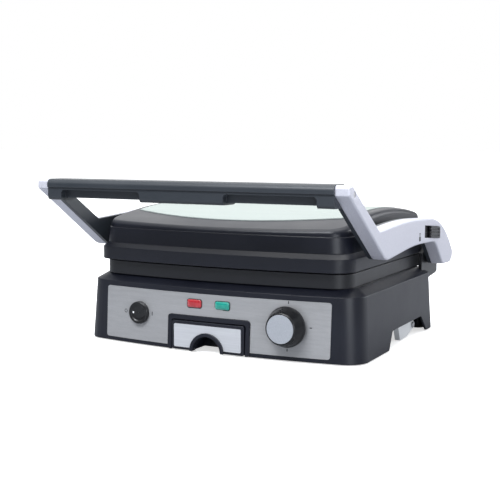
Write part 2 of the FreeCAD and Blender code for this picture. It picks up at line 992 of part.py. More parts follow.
finger_rim_radius = s.finger_radius + s.finger_rim
front_panel = prism(
    "tray_front_panel",
    "y",
    (tray_face_y, tray_front_back),
    *rectangle(-s.tray_half_width, s.tray_half_width, s.tray_low, s.tray_high, 2.5),
)
rim_ring = cylinder(
    "finger_rim_ring",
    "y",
    (tray_face_y - s.finger_proud, tray_face_y + 1),
    (0, s.tray_low),
    finger_rim_radius,
)
rim_keep = box(
    "finger_rim_keep",
    (-finger_rim_radius - 1, finger_rim_radius + 1),
    (tray_face_y - s.finger_proud - 1, tray_face_y + 2),
    (s.tray_low, s.tray_low + finger_rim_radius + 1),
)
rim_half = shared("finger_rim_half", rim_ring, rim_keep)
keep(
    "tray_front",
    without("tray_front", joined("tray_front_solid", front_panel, rim_half), pocket_bore),
)
trim_blank = prism(
    "tray_trim_blank",
    "y",
    (tray_face_y - s.fascia_sheet, tray_face_y),
    *rectangle(
        -s.tray_plate_half_width,
        s.tray_plate_half_width,
        s.tray_plate_low,
        s.tray_plate_high,
        1.5,
    ),
)
trim_cut = cylinder(
    "tray_trim_cut",
    "y",
    (tray_face_y - 3, tray_face_y + 3),
    (0, s.tray_low),
    finger_rim_radius,
)
keep("tray_trim_plate", without("tray_trim_plate", trim_blank, trim_cut))

# ---------------------------------------------------------------- bottom cover with the tray bay

cover_sections = (
    (
        s.cover_height,
        s.base_half_width - s.wall - s.base_taper,
        s.base_front - s.wall,
        s.base_rear - s.wall,
        s.plan_corner - s.wall,
    ),
    (
        s.cover_height + s.cover_sheet,
        s.base_half_width - s.wall - s.base_taper,
        s.base_front - s.wall,
        s.base_rear - s.wall,
        s.plan_corner - s.wall,
    ),
)
cover_plate = block("cover_plate", *cover_sections)
bay_rear = tray_rear + 2
bay_half = s.tray_half_width + 3
bay_roof = s.tray_high + 2
bay_blank = box(
    "bay_blank",
    (-bay_half, bay_half),
    (-s.base_front + s.wall + 2, bay_rear + s.cover_sheet),
    (s.base_bottom + 1, bay_roof + s.cover_sheet),
)
bay_space = box(
    "bay_space",
    (-bay_half + s.cover_sheet, bay_half - s.cover_sheet),
    (-s.base_front - 10, bay_rear),
    (s.base_bottom - 1, bay_roof),
)
foot_x = shoulder_half_width - s.foot_radius - s.wall - 4
foot_ys = (
    -s.base_front + s.plan_corner + s.foot_radius,
    s.base_rear - s.foot_radius - s.wall - 3,
)
foot_columns = [
    cylinder(f"foot_column{i}", "z", (s.foot_tall, s.cover_height), (foot_x, y), s.foot_radius)
    for i, y in enumerate(foot_ys, 1)
]
foot_stud = [
    cylinder(f"foot_stud{i}", "z", (s.foot_tall, s.cover_height - 6), (foot_x, y), 2.5)
    for i, y in enumerate(foot_ys, 1)
]
lug_inner = s.base_half_width - s.wall - 17
lug_x = (lug_inner, lug_inner + 5)
tilt_lug = box(
    "tilt_lug",
    lug_x,
    (s.tilt_foot_pivot_y - 6, s.tilt_foot_pivot_y + 6),
    (s.tilt_foot_pivot_z - 6, s.cover_height),
)
tilt_pin_span = (lug_inner, lug_inner + 5 + s.tilt_foot_thick + 2.6)
tilt_bore = cylinder(
    "tilt_bore", "x", tilt_pin_span, (s.tilt_foot_pivot_y, s.tilt_foot_pivot_z), 2.0
)
chute_hole = cylinder("chute_hole", "z", (s.base_bottom, plate_top + 5), (0, chute_y), chute_radius)
cover_half = joined("cover_right_fittings", *foot_columns, tilt_lug)
cover_fittings = both_sides("cover_fittings", cover_half)
cover_solid = joined("cover_solid", cover_plate, bay_blank, cover_fittings)
cover_bores = [
    cylinder(f"cover_bore{i}", "z", (s.cover_height - 4, s.cover_height + 24), place, SCREW_RADIUS)
    for i, place in enumerate(cover_screw_places, 1)
]
cover_bore_set = both_sides("cover_bores", joined("cover_bores_half", *cover_bores))
keep(
    "bottom_cover",
    without(
        "bottom_cover",
        cover_solid,
        bay_space,
        chute_hole,
        cover_bore_set,
        both_sides("foot_studs_hole", joined("foot_studs_half", *foot_stud)),
        both_sides("tilt_bores", tilt_bore),
    ),
)

# ---------------------------------------------------------------- feet, rails, gland and base screws

feet = [
    cylinder(f"foot{i}", "z", (0, s.foot_tall), (foot_x, y), s.foot_radius)
    for i, y in enumerate(foot_ys, 1)
]
plugs = [
    cylinder(f"foot_plug{i}", "z", (s.foot_tall - 1, s.cover_height - 6), (foot_x, y), 2.5)
    for i, y in enumerate(foot_ys, 1)
]
keep("rubber_feet", both_sides("rubber_feet", joined("feet_right", *feet, *plugs)))

SCREW_HEAD_RADIUS = 3.2
cover_screws = []
for i, place in enumerate(cover_screw_places, 1):
    head = cylinder(
        f"cover_screw_head{i}",
        "z",
        (s.cover_height - 2, s.cover_height),
        place,
        SCREW_HEAD_RADIUS,
    )
    shank = cylinder(
        f"cover_screw_shank{i}",
        "z",
        (s.cover_height - 1, s.cover_height + 16),
        place,
        SCREW_RADIUS,
    )
    cover_screws.append(joined(f"cover_screw{i}", head, shank))
keep("cover_screws", both_sides("cover_screws", joined("cover_screws_half", *cover_screws)))

bracket_screws = []
for i, place in enumerate(bracket_screw_places, 1):
    head = cylinder(
        f"bracket_head{i}", "x", (bracket_inner - 2, bracket_inner), place, SCREW_HEAD_RADIUS
    )
    shank = cylinder(
        f"bracket_shank{i}",
        "x",
        (bracket_inner - 1, shoulder_half_width - s.wall - 1),
        place,
        SCREW_RADIUS,
    )
    bracket_screws.append(joined(f"bracket_screw{i}", head, shank))
bracket_screw_half = joined("bracket_screws_half", *bracket_screws)
keep("bracket_screws", both_sides("bracket_screws", bracket_screw_half))

pin_end = s.arm_inner + 5
pin = joined(
    "hinge_pin_right",
    cylinder(
        "hinge_pin_head",
        "x",
        (bracket_inner - 2.2, bracket_inner),
        (s.hinge_y, hinge_z),
        s.pin_head_radius,
    ),
    cylinder(
        "hinge_pin_shank", "x", (bracket_inner - 1, pin_end), (s.hinge_y, hinge_z), s.pin_radius
    ),
)
keep("hinge_pins", both_sides("hinge_pins", pin))

pad_y = s.hinge_y + 26
rest_pad = prism(
    "rest_pad_right",
    "x",
    (bracket_inner + 0.4, bracket_outer),
    *rectangle(pad_y, pad_y + 3, s.shoulder_height - 4, s.shoulder_height + 10, 1.4),
)
keep("rear_rest_pads", both_sides("rear_rest_pads", rest_pad))

gland_outer = (s.base_rear + s.base_rear_taper / 2 + 0.2, s.base_rear + 7)
gland_neck = (s.base_rear - s.wall - 5, gland_outer[0] + 1)
gland = joined(
    "gland_solid",
    cylinder("gland_neck", "y", gland_neck, (gland_x, gland_z), 6),
    cylinder("gland_collar", "y", gland_outer, (gland_x, gland_z), 8.5),
)
gland_bore = cylinder(
    "gland_bore", "y", (s.base_rear - 20, s.base_rear + 20), (gland_x, gland_z), 3.6
)
keep("cord_gland", without("cord_gland", gland, gland_bore))

rail_x = (s.tray_half_width - 1 + s.fit_gap, bay_half - s.cover_sheet)
rail = box(
    "tray_rail",
    rail_x,
    (-s.base_front + 12, bay_rear - 4),
    (lip_low - s.fit_gap - 4, lip_low - s.fit_gap),
)
keep("tray_rails", both_sides("tray_rails", rail))

# ---------------------------------------------------------------- electrical parts in the base

terminal_x = (s.base_half_width / 6, s.base_half_width / 6 + 34)
terminal_floor = s.cover_height + s.cover_sheet
terminal_block = joined(
    "terminal_solid",
    box(
        "terminal_body",
        terminal_x,
        (s.base_rear - 45, s.base_rear - 29),
        (terminal_floor, terminal_floor + 11),
    ),
    box(
        "terminal_wall",
        (terminal_x[0] + 2, terminal_x[1] - 2),
        (s.base_rear - 39, s.base_rear - 35),
        (terminal_floor + 10, terminal_floor + 16),
    ),
)
terminal_bores = [
    cylinder(
        f"terminal_bore{i}",
        "y",
        (s.base_rear - 50, s.base_rear - 40),
        (terminal_x[0] + 7 + 10 * i, terminal_floor + 5.5),
        2.2,
    )
    for i in range(3)
]
keep("terminal_block", without("terminal_block", terminal_block, *terminal_bores))

# ---------------------------------------------------------------- cooking plates


RIBS = 25


def cooking_plate(name, low, high, facing):
    """A cast plate with a rimmed cavity behind it and ribs on the face that cooks.

    Facing is +1 for ribs on top and -1 for ribs underneath.
    """
    corner = s.plan_corner - 2
    rear_corner = s.lid_rear_corner - 2
    plan = (s.plate_half_width, s.plate_front, s.plate_rear, corner, rear_corner)
    cavity_plan = (
        s.plate_half_width - s.plate_rim,
        s.plate_front - s.plate_rim,
        s.plate_rear - s.plate_rim,
        corner - s.plate_rim,
        rear_corner - s.plate_rim,
    )
    cavity = (low - 1, low + s.plate_cavity) if facing > 0 else (high - s.plate_cavity, high + 1)
    floor = high - s.lip_depth if facing > 0 else low + s.lip_depth
    recess = (floor, high + 1) if facing > 0 else (low - 1, floor)
    slab = without(
        f"{name}_slab",
        block(f"{name}_casting", (low, *plan), (high, *plan)),
        block(f"{name}_cavity", (cavity[0], *cavity_plan), (cavity[1], *cavity_plan)),
        block(f"{name}_recess", (recess[0], *cavity_plan), (recess[1], *cavity_plan)),
    )
    rib_z = (floor - 0.5, floor + s.rib_tall) if facing > 0 else (floor - s.rib_tall, floor + 0.5)
    reach_y = (chute_y + chute_radius + 3, s.plate_rear - s.plate_rim - 6)
    ribs = doc.addObject("PartDesign::Body", f"{name}_ribs")
    ribs.AllowCompound = True
    sketch = new_sketch(ribs, f"{name}_rib_outline", "XY_Plane", rib_z[0])
    first_x = -s.rib_pitch * RIBS / 2 + s.rib_pitch / 2
    outline(
        sketch,
        *rectangle(
            first_x - s.rib_wide / 2, first_x + s.rib_wide / 2, *reach_y, s.rib_wide / 2.2
        ),
    )
    pad = ribs.newObject("PartDesign::Pad", f"{name}_rib")
    pad.Profile = sketch
    bind(pad, "Length", rib_z[1] - rib_z[0])
    doc.recompute()
    row = ribs.newObject("PartDesign::LinearPattern", f"{name}_rib_row")
    row.Originals = [pad]
    row.Direction = (sketch, ["H_Axis"])
    row.Occurrences = RIBS
    bind(row, "Length", s.rib_pitch * (RIBS - 1))
    ribs.Tip = row
    doc.recompute()
    return joined(f"{name}_ribbed", slab, ribs)


lower_blank = cooking_plate("lower_plate_blank", shoulder_top, plate_top, 1)
keep("lower_plate", without("lower_plate", lower_blank, chute_hole))
upper_low = lid_bottom + 0.2
upper_high = upper_low + s.upper_plate_tall
keep("upper_plate", cooking_plate("upper_plate", upper_low, upper_high, -1))


def heating_element(name, z):
    """A U-shaped sheathed element lying in the cavity of its plate."""
    half = s.plate_half_width * 0.74
    rear = well_rear - 17.5
    front = -s.plate_front + s.plate_rim + 34
    bend = 30
    path = [
        (-half, rear),
        (-half, front + bend),
        (-half + bend, front),
        (half - bend, front),
        (half, front + bend),
        (half, rear),
    ]
    return bent_rod(name, path, [None, bend, None, bend, None], z, s.element_radius)


lower_element_z = shoulder_top + s.plate_cavity - s.element_radius
keep("lower_heating_element", heating_element("lower_heating_element", lower_element_z))
upper_element_z = upper_high - s.plate_cavity + s.element_radius
keep("upper_heating_element", heating_element("upper_heating_element", upper_element_z))


def reflector(name, z, depth, opens_up):
    """A shallow sheet pan behind a plate that throws the heat back."""
    half = well_half_width
    plan = (half, well_front, well_rear, s.plan_corner / 2)
    inner = (half - 0.8, well_front - 0.8, well_rear - 0.8, s.plan_corner / 2 - 0.8)
    floor = 0.8 if opens_up else -0.8
    hollow = (z + floor, z + depth + 1) if opens_up else (z - 1, z + depth + floor)
    pan = block(f"{name}_pan", (z, *plan), (z + depth, *plan))
    space = block(f"{name}_space", (hollow[0], *inner), (hollow[1], *inner))
    return without(f"{name}_sheet", pan, space)


REFLECTOR_DEPTH = 9.0
lower_pan_z = shoulder_top - REFLECTOR_DEPTH
lower_reflector = reflector("lower_heat_reflector", lower_pan_z, REFLECTOR_DEPTH, True)
keep("lower_heat_reflector", without("lower_heat_reflector", lower_reflector, chute_hole))
keep(
    "upper_heat_reflector",
    reflector("upper_heat_reflector", upper_high, REFLECTOR_DEPTH, False),
)

chute_span = (bay_roof + s.cover_sheet - 1, shoulder_top + s.plate_cavity)
keep(
    "grease_chute",
    tube("grease_chute", "z", chute_span, (0, chute_y), chute_radius, chute_radius - 1.2),
)
fuse_z = lower_pan_z - 4
keep(
    "thermal_fuse",
    joined(
        "thermal_fuse",
        cylinder("fuse_can", "x", (-12, 12), (well_rear - 57.5, fuse_z), 3.2),
        cylinder("fuse_leads", "x", (-26, 26), (well_rear - 57.5, fuse_z), 0.9),
    ),
)

# ---------------------------------------------------------------- lid

lid_rim_top = lid_bottom + s.lid_rim_tall + s.lid_rim_slope
rim_plan = (
    s.lid_rim_half_width,
    s.lid_rim_front,
    s.lid_rear,
    s.plan_corner,
    s.lid_rear_corner,
)
rim_hole_plan = (
    s.plate_half_width + 1,
    s.plate_front + 1,
    s.plate_rear + 1,
    s.plan_corner - 1,
    s.lid_rear_corner - 1,
)


def lid_plan(inset):
    """Plan of the lid's wall where it stands on the rim, moved in by inset."""
    return (
        s.lid_half_width - inset,
        s.lid_front - inset,
        s.lid_rear - 1.5 - inset,
        s.plan_corner - inset,
        s.lid_rear_corner - inset,
    )


lid_rim = without(
    "lid_rim_ring",
    block(
        "lid_rim_solid",
        (lid_bottom, *rim_plan),
        (lid_bottom + s.lid_rim_tall, *rim_plan),
        (lid_rim_top, *lid_plan(0)),
    ),
    block("lid_rim_hole", (lid_bottom - 1, *rim_hole_plan), (upper_high, *rim_hole_plan)),
    block(
        "lid_rim_throat",
        (upper_high - 1, *lid_plan(s.wall)),
        (lid_rim_top + 1, *lid_plan(s.wall)),
    ),
)
keep("lid_rim", lid_rim)


def dome_side(inset):
    """Side outline of the arched top, down to the rim, moved in by inset."""
    front = -s.lid_front - 6
    rear = s.lid_rear + 6
    radius = s.dome_radius - inset
    centre_z = s.dome_top - s.dome_radius

    def arch_z(y):
        return centre_z + root(radius * radius - (y - s.dome_top_y) * (y - s.dome_top_y))

    corners = [
        (front, lid_rim_top),
        (rear, lid_rim_top),
        (rear, arch_z(rear)),
        (front, arch_z(front)),
    ]
    return corners, [None, None, radius, None]


def dome_slab(name, half, inset):
    """The arched top across the grill, with its rear edge rounded down."""
    corners, radii = dome_side(inset)
    body = prism(name, "x", (-half, half), corners, radii)
    return rounded(body, s.lid_rear_round - inset, "x", [corners[2]])


def lid_part(name, low, high, inset):
    """A tapered length of the lid's wall between two levels, moved in by inset."""
    full = s.dome_top - lid_rim_top

    def plan_at(z):
        rise = (z - lid_rim_top) / full
        return (
            s.lid_half_width - s.lid_taper * rise - inset,
            s.lid_front - s.lid_front_taper * rise - inset,
            s.lid_rear - 1.5 - 2 * rise - inset,
            s.plan_corner - inset,
            s.lid_rear_corner - inset,
        )

    return block(name, (low, *plan_at(low)), (high, *plan_at(high)))


dome_half = s.lid_half_width + 4
lid_skirt = lid_part("lid_skirt", lid_rim_top, s.lid_crease, 0)
lid_crown = shared(
    "lid_crown",
    lid_part("lid_crown_walls", s.lid_crease, s.dome_top + 2, s.lid_step),
    dome_slab("lid_dome", dome_half, 0),
)
lid_space = joined(
    "lid_space",
    lid_part("lid_space_low", lid_rim_top - 1, s.lid_crease - s.wall, s.wall),
    shared(
        "lid_space_high",
        lid_part(
            "lid_space_walls", s.lid_crease - s.wall - 1, s.dome_top, s.lid_step + s.wall
        ),
        dome_slab("lid_space_dome", dome_half, s.wall),
    ),
)
doc.recompute()
round_crown = doc.addObject("Part::Fillet", "lid_crown_rounded")
round_crown.Base = lid_crown
crown_floor = number(s.lid_crease) + 1
round_crown.Edges = [
    (index, number(s.dome_edge), number(s.dome_edge))
    for index, edge in enumerate(lid_crown.Shape.Edges, 1)
    if edge.BoundBox.ZMin > crown_floor
]
doc.recompute()
lid_solid = joined("lid_solid", lid_skirt, round_crown)

boss_span = (well_half_width + 1, liner_inner - s.fit_gap)
pivot_place = (s.lid_pivot_y, s.lid_pivot_z)
BUSH_RADIUS = 9.0
bush_hole = cylinder("bush_hole", "x", boss_span, pivot_place, BUSH_RADIUS)
bush = tube(
    "lid_bush", "x", boss_span, pivot_place, BUSH_RADIUS, s.pin_radius + s.running_gap
)
keep("lid_pivot_bushes", both_sides("lid_pivot_bushes", bush))
lid_holes = both_sides("lid_bush_holes", bush_hole)
keep("lid_cover", without("lid_cover", lid_solid, lid_space, lid_holes))


def panel_outline():
    """Plan of the top panel: straight sides and a front edge that bows forward."""
    half = s.panel_half_width
    sag = s.panel_bow - root(s.panel_bow * s.panel_bow - half * half)
    corner_y = -s.panel_front + sag
    corners = [
        (-half, corner_y),
        (half, corner_y),
        (half, s.panel_rear - 14),
        (half - 14, s.panel_rear),
        (-half + 14, s.panel_rear),
        (-half, s.panel_rear - 14),
    ]
    return corners, [s.panel_bow, None, 14, None, 14, None]


panel_field = prism("panel_field", "z", (s.lid_crease, s.dome_top + 6), *panel_outline())
panel_arch = dome_slab("panel_arch", s.panel_half_width + 6, -s.panel_sheet)
dome_core = dome_slab("panel_seat", s.panel_half_width + 8, 0)
panel_skin = without("panel_skin", shared("panel_blank", panel_field, panel_arch), dome_core)
keep("lid_top_panel", panel_skin)

# ---------------------------------------------------------------- arms

arm_corners = {
    "toe": (-s.handle_front + 2.5, s.handle_top - 10),
    "cap_front": (-s.handle_front + 3, s.handle_top - 0.5),
    "cap_rear": (-s.handle_front + 9.5, s.handle_top - 0.2),
    "elbow": (s.elbow_y, s.elbow_z),
    "hump": (0, s.hump_z),
    "shoulder": (s.arm_shoulder_y, s.arm_shoulder_z),
    "heel": (s.hinge_y + 28.5, hinge_z - 4.4),
    "heel_low": (s.hinge_y + 15, hinge_z - 14.1),
    "hook_low": (s.hinge_y - 16.5, hinge_z - 13.4),
    "hook_inner": (s.hinge_y - 50, s.arm_shoulder_z - s.arm_band + 3.5),
    "belly": (25, s.hump_z - s.arm_band),
    "knee": (s.elbow_y + 22, s.elbow_z - s.arm_band - 2.8),
}
arm_radii = {
    "toe": 1.5,
    "cap_front": 4,
    "cap_rear": 6,
    "elbow": 5,
    "hump": 800,
    "shoulder": 130,
    "heel": 8,
    "heel_low": 10,
    "hook_low": 6,
    "hook_inner": 25,
    "belly": 500,
    "knee": 24,
}


def arm_slice(name, span):
    """A slice of the arm's S-shaped side outline between two values of X."""
    body = prism(name, "x", span, list(arm_corners.values()))
    for corner, radius in arm_radii.items():
        rounded(body, radius, "x", [arm_corners[corner]])
    return body


core_y = -s.handle_front + s.handle_depth / 2
core_z = s.handle_top - s.handle_upper_tall
core_end = s.arm_inner + 4.5
core_bore = cylinder("core_bore", "x", (-core_end, core_end), (core_y, core_z), s.core_radius)
arm_screw_bore = cylinder(
    "arm_screw_bore", "x", (core_end - 8, s.arm_outer + 1), (core_y, core_z), 1.5
)
arm_screw_seat = cylinder(
    "arm_screw_seat", "x", (s.arm_outer - 2.4, s.arm_outer + 1), (core_y, core_z), 3
)
arm_pin_bore = cylinder(
    "arm_pin_bore",
    "x",
    (liner_inner - 5, pin_end + 0.5),
    (s.hinge_y, hinge_z),
    s.pin_radius + s.running_gap,
)
pivot_pin_end = s.arm_inner + 6
arm_pivot_bore = cylinder(
    "arm_pivot_bore", "x", (liner_inner - 5, pivot_pin_end), pivot_place, s.pin_radius
)
cover_slice = arm_slice("arm_cover_slice", (s.arm_inner, s.arm_outer))
soften_face(cover_slice, s.arm_edge, "x", s.arm_outer)
arm_cover = without(
    "arm_cover_bored",
    cover_slice,
    core_bore,
    arm_screw_bore,
    arm_screw_seat,
    arm_pin_bore,
    arm_pivot_bore,
)
keep("left_arm_cover", mirrored("left_arm_cover", arm_cover))

handle_bottom = s.handle_top - s.handle_upper_tall - s.handle_lower_tall
handle_back = -s.handle_front + s.handle_depth
grip_envelope = box(
    "grip_envelope",
    (0, s.arm_inner + 1),
    (-s.handle_front - 5, handle_back),
    (handle_bottom, s.handle_top + 5),
)
liner_slice = arm_slice("arm_liner_slice", (liner_inner, s.arm_inner))
liner = without("right_arm_liner", liner_slice, grip_envelope, arm_pin_bore, arm_pivot_bore)
keep("right_arm_liner", liner)
keep("left_arm_liner", mirrored("left_arm_liner", liner))

# ---------------------------------------------------------------- slide lock on the right arm

LOCK_SLOPE = math.tan(math.radians(SIZES["lock_tilt"]))


def lock_bar(name, low_y, high_y, tall, span):
    """A bar that lies along the tilted slot."""
    middle_y = (s.lock_low_y + s.lock_high_y) / 2
    low_z = s.lock_z + (middle_y - low_y) * LOCK_SLOPE
    high_z = s.lock_z + (middle_y - high_y) * LOCK_SLOPE
    corners = [
        (low_y, low_z - tall / 2),
        (high_y, high_z - tall / 2),
        (high_y, high_z + tall / 2),
        (low_y, low_z + tall / 2),
    ]
    return prism(name, "x", span, corners)


slot_floor = s.arm_outer - s.lock_depth
lock_slot = lock_bar(
    "lock_slot", s.lock_low_y, s.lock_high_y, s.lock_tall, (slot_floor, s.arm_outer + 4)
)
keep("right_arm_cover", without("right_arm_cover", arm_cover, lock_slot))
bezel_blank = lock_bar(
    "lock_bezel_blank",
    s.lock_low_y,
    s.lock_high_y,
    s.lock_tall,
    (slot_floor, slot_floor + 0.8),
)
keep("lock_slot_plate", bezel_blank)
button_high = s.lock_high_y - s.fit_gap
button_span = (slot_floor + 0.8 + s.fit_gap, s.arm_outer + s.lock_proud)
button = lock_bar(
    "lock_button_blank",
    button_high - s.lock_button,
    button_high,
    s.lock_tall - 2 * s.fit_gap,
    button_span,
)
grooves = [
    lock_bar(
        f"lock_groove{i}",
        button_high - s.lock_button - 2,
        button_high - 3,
        1.4,
        (s.arm_outer + s.lock_proud - 0.9, s.arm_outer + s.lock_proud + 1),
    )
    for i in range(3)
]
for groove, drop in zip(grooves, (-3.8, 0, 3.8)):
    bind(groove, "Placement.Base.z", drop)
keep("lock_button", without("lock_button", button, *grooves))

# ---------------------------------------------------------------- handle grip, core and arm fixings


def grip_part(name, front, back, low, high, corner, round_top):
    """One half of the grip: a bar across the arms with two rounded edges."""
    corners = [(front, low), (back, low), (back, high), (front, high)]
    body = prism(name, "x", (-s.arm_inner, s.arm_inner), corners)
    return rounded(body, corner, "x", corners[2:] if round_top else corners[:2])


grip_top = grip_part(
    "grip_top_blank",
    -s.handle_front,
    handle_back,
    core_z,
    s.handle_top,
    s.handle_edge,
    True,
)
keep("handle_grip_top", without("handle_grip_top", grip_top, core_bore))
grip_low = grip_part(
    "grip_low_blank",
    -s.handle_front + s.handle_step,
    handle_back - s.handle_step,
    handle_bottom,
    core_z,
    s.handle_edge - 2,
    False,
)
pocket = prism(
    "finger_pocket",
    "y",
    (-s.handle_front - 5, -s.handle_front + s.pocket_depth),
    *rectangle(
        s.pocket_inner,
        s.pocket_outer,
        handle_bottom - 8,
        core_z - s.pocket_web,
        4,
    ),
)
pocket_relief = box(
    "pocket_relief",
    (s.pocket_inner, s.pocket_outer),
    (-s.handle_front - 5, handle_back + 5),
    (handle_bottom - 5, handle_bottom + s.pocket_web),
)
pockets = both_sides("finger_pockets", joined("finger_pocket_right", pocket, pocket_relief))
keep("handle_grip_bottom", without("handle_grip_bottom", grip_low, pockets, core_bore))
handle_core = cylinder(
    "handle_core_bar", "x", (-core_end, core_end), (core_y, core_z), s.core_radius
)
keep(
    "handle_core",
    without("handle_core", handle_core, both_sides("arm_screw_bores", arm_screw_bore)),
)
arm_screw = joined(
    "arm_screw_right",
    cylinder("arm_screw_shank", "x", (core_end - 7, s.arm_outer - 2), (core_y, core_z), 1.5),
    cylinder(
        "arm_screw_head", "x", (s.arm_outer - 2.4, s.arm_outer - 0.4), (core_y, core_z), 2.8
    ),
)
keep("arm_screws", both_sides("arm_screws", arm_screw))
pivot_pin = cylinder(
    "lid_pivot_pin", "x", (boss_span[0], pivot_pin_end), pivot_place, s.pin_radius
)
keep("lid_pivot_pins", both_sides("lid_pivot_pins", pivot_pin))

# ---------------------------------------------------------------- tilt feet

foot_inner = lug_inner + 5.5
tilt_corners = [
    (s.tilt_foot_pivot_y - s.tilt_foot_length + 8, 0.8),
    (s.tilt_foot_pivot_y - 18, 1.6),
    (s.tilt_foot_pivot_y + 4, s.tilt_foot_pivot_z - 5),
    (s.tilt_foot_pivot_y + 6, s.tilt_foot_pivot_z + 4.6),
    (s.tilt_foot_pivot_y - s.tilt_foot_length, s.tilt_foot_pivot_z + 4.6),
]
tilt_blank = prism(
    "tilt_blank", "x", (foot_inner, foot_inner + s.tilt_foot_thick), tilt_corners
)
rounded(tilt_blank, 10, "x", [tilt_corners[1]])
rounded(tilt_blank, 2, "x", [tilt_corners[0], *tilt_corners[2:4]])
tilt_foot_bore = cylinder(
    "tilt_foot_bore",
    "x",
    (foot_inner - 2, foot_inner + s.tilt_foot_thick + 2),
    (s.tilt_foot_pivot_y, s.tilt_foot_pivot_z),
    2.0 + s.running_gap,
)
right_tilt_foot = without("right_tilt_foot", tilt_blank, tilt_foot_bore)
keep("right_tilt_foot", right_tilt_foot)
keep("left_tilt_foot", mirrored("left_tilt_foot", right_tilt_foot))
tilt_pin = joined(
    "tilt_pin",
    cylinder(
        "tilt_pin_shank",
        "x",
        tilt_pin_span,
        (s.tilt_foot_pivot_y, s.tilt_foot_pivot_z),
        2.0,
    ),
    cylinder(
        "tilt_pin_head",
        "x",
        (foot_inner + s.tilt_foot_thick + 0.5, tilt_pin_span[1]),
        (s.tilt_foot_pivot_y, s.tilt_foot_pivot_z),
        3.4,
    ),
)
keep("tilt_foot_pins", both_sides("tilt_foot_pins", tilt_pin))

# ---------------------------------------------------------------- build, check and write

doc.recompute()
faulty = [
    thing.Name for thing in doc.Objects if {"Invalid", "Error"} & set(thing.State)
]
for label, solid in nodes.items():
    shape = solid.Shape
    if shape.isNull() or not shape.isValid() or not shape.Solids:
        faulty.append(label)
if faulty:
    raise RuntimeError(f"failed objects: {faulty}")
os.makedirs("parts", exist_ok=True)
for label, solid in nodes.items():
    solid.Shape.exportStep(os.path.join("parts", f"{label}.step"))
print(len(nodes), "sub-parts written")
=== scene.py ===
# %% [markdown]
# # A panini press, finished in Blender
#
# The working model comes packed: its casings, plates, arms, hinges and knobs have their true sizes and
# already move. This lesson gives it its looks: softened edges, finishes and the small marks on it.
# Everything is in metres, with +Z up and the user at -Y.

import json
import math

import bmesh
import bpy
from mathutils import Matrix, Vector

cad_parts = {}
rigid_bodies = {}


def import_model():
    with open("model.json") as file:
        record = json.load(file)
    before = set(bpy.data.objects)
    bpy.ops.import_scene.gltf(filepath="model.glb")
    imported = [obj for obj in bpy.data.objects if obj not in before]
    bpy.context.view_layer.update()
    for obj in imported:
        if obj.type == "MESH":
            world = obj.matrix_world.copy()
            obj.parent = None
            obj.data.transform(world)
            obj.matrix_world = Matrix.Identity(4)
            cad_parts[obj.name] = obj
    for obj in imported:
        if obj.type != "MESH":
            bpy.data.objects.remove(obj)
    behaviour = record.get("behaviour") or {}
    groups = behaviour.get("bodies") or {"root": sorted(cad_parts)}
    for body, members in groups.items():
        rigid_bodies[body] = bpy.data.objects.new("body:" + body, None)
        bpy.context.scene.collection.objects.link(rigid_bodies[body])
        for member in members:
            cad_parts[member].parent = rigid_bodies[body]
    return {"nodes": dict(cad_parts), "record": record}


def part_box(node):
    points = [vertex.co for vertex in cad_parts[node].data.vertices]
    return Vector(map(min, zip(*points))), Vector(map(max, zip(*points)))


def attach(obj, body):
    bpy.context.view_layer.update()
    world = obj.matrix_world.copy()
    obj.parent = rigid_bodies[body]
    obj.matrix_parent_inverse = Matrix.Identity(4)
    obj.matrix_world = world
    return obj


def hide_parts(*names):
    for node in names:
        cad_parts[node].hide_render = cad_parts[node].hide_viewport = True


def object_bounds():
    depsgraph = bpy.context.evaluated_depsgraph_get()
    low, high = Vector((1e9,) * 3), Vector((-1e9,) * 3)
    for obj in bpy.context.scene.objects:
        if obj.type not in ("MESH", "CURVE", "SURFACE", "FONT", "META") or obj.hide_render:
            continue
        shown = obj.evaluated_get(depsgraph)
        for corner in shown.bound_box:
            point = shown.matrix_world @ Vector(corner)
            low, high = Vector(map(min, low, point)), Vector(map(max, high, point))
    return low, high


for leftover in list(bpy.data.objects):
    bpy.data.objects.remove(leftover)

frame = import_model()
cad_low, cad_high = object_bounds()
print("pieces:", len(frame["nodes"]), "size:", [round(side, 4) for side in cad_high - cad_low])

# %% [markdown]
# ## Camera
#
# The camera comes first, because every choice of gloss and light is judged through it. It stands at the
# height of a seated person's eyes, to the right of the grill, and looks slightly down. A lens of about
# 70 mm keeps the upright edges nearly parallel.

# %% Camera
CAMERA_PLACE = (0.4896, -0.9758, 0.2153)
TURNED_LEFT = math.radians(27.24)
TILTED_DOWN = math.radians(6.11)
ROLLED = math.radians(0.18)
LENS_MM = 68.49
SENSOR_MM = 36.0
NEAREST_SEEN = 0.05


def put_in_scene(name, data):
    """A new object that shows a mesh, a lamp or a camera."""
    thing = bpy.data.objects.new(name, data)
    bpy.context.scene.collection.objects.link(thing)
    return thing


camera_data = bpy.data.cameras.new("camera")
camera_data.lens = LENS_MM
camera_data.sensor_width = SENSOR_MM
camera_data.clip_start = NEAREST_SEEN
camera = put_in_scene("camera", camera_data)
turn = Matrix.Rotation(TURNED_LEFT, 4, "Z") @ Matrix.Rotation(math.pi / 2 - TILTED_DOWN, 4, "X")
camera.matrix_world = Matrix.Translation(CAMERA_PLACE) @ turn @ Matrix.Rotation(ROLLED, 4, "Z")
bpy.context.scene.camera = camera
print("camera lens:", camera_data.lens, "mm")

# %% [markdown]
# ## Studio
#
# Black plastic shows only what it reflects. Its walls look black when the room in front of them is dim,
# and its rounded edges are drawn by large soft lamps behind and above. So the room is bright overhead and
# dim at the horizon, a wide lamp stands behind, another behind on the right lifts the side wall and the
# arm. A high one in front and a small low one at the right light the steel and the silver paint without
# being mirrored in the upright plastic.
#
# The camera sees a plain white backdrop and a pale floor. A Light Path node gives the same floor a darker
# shade in reflections, which is what black cards beside the set do in a real studio.

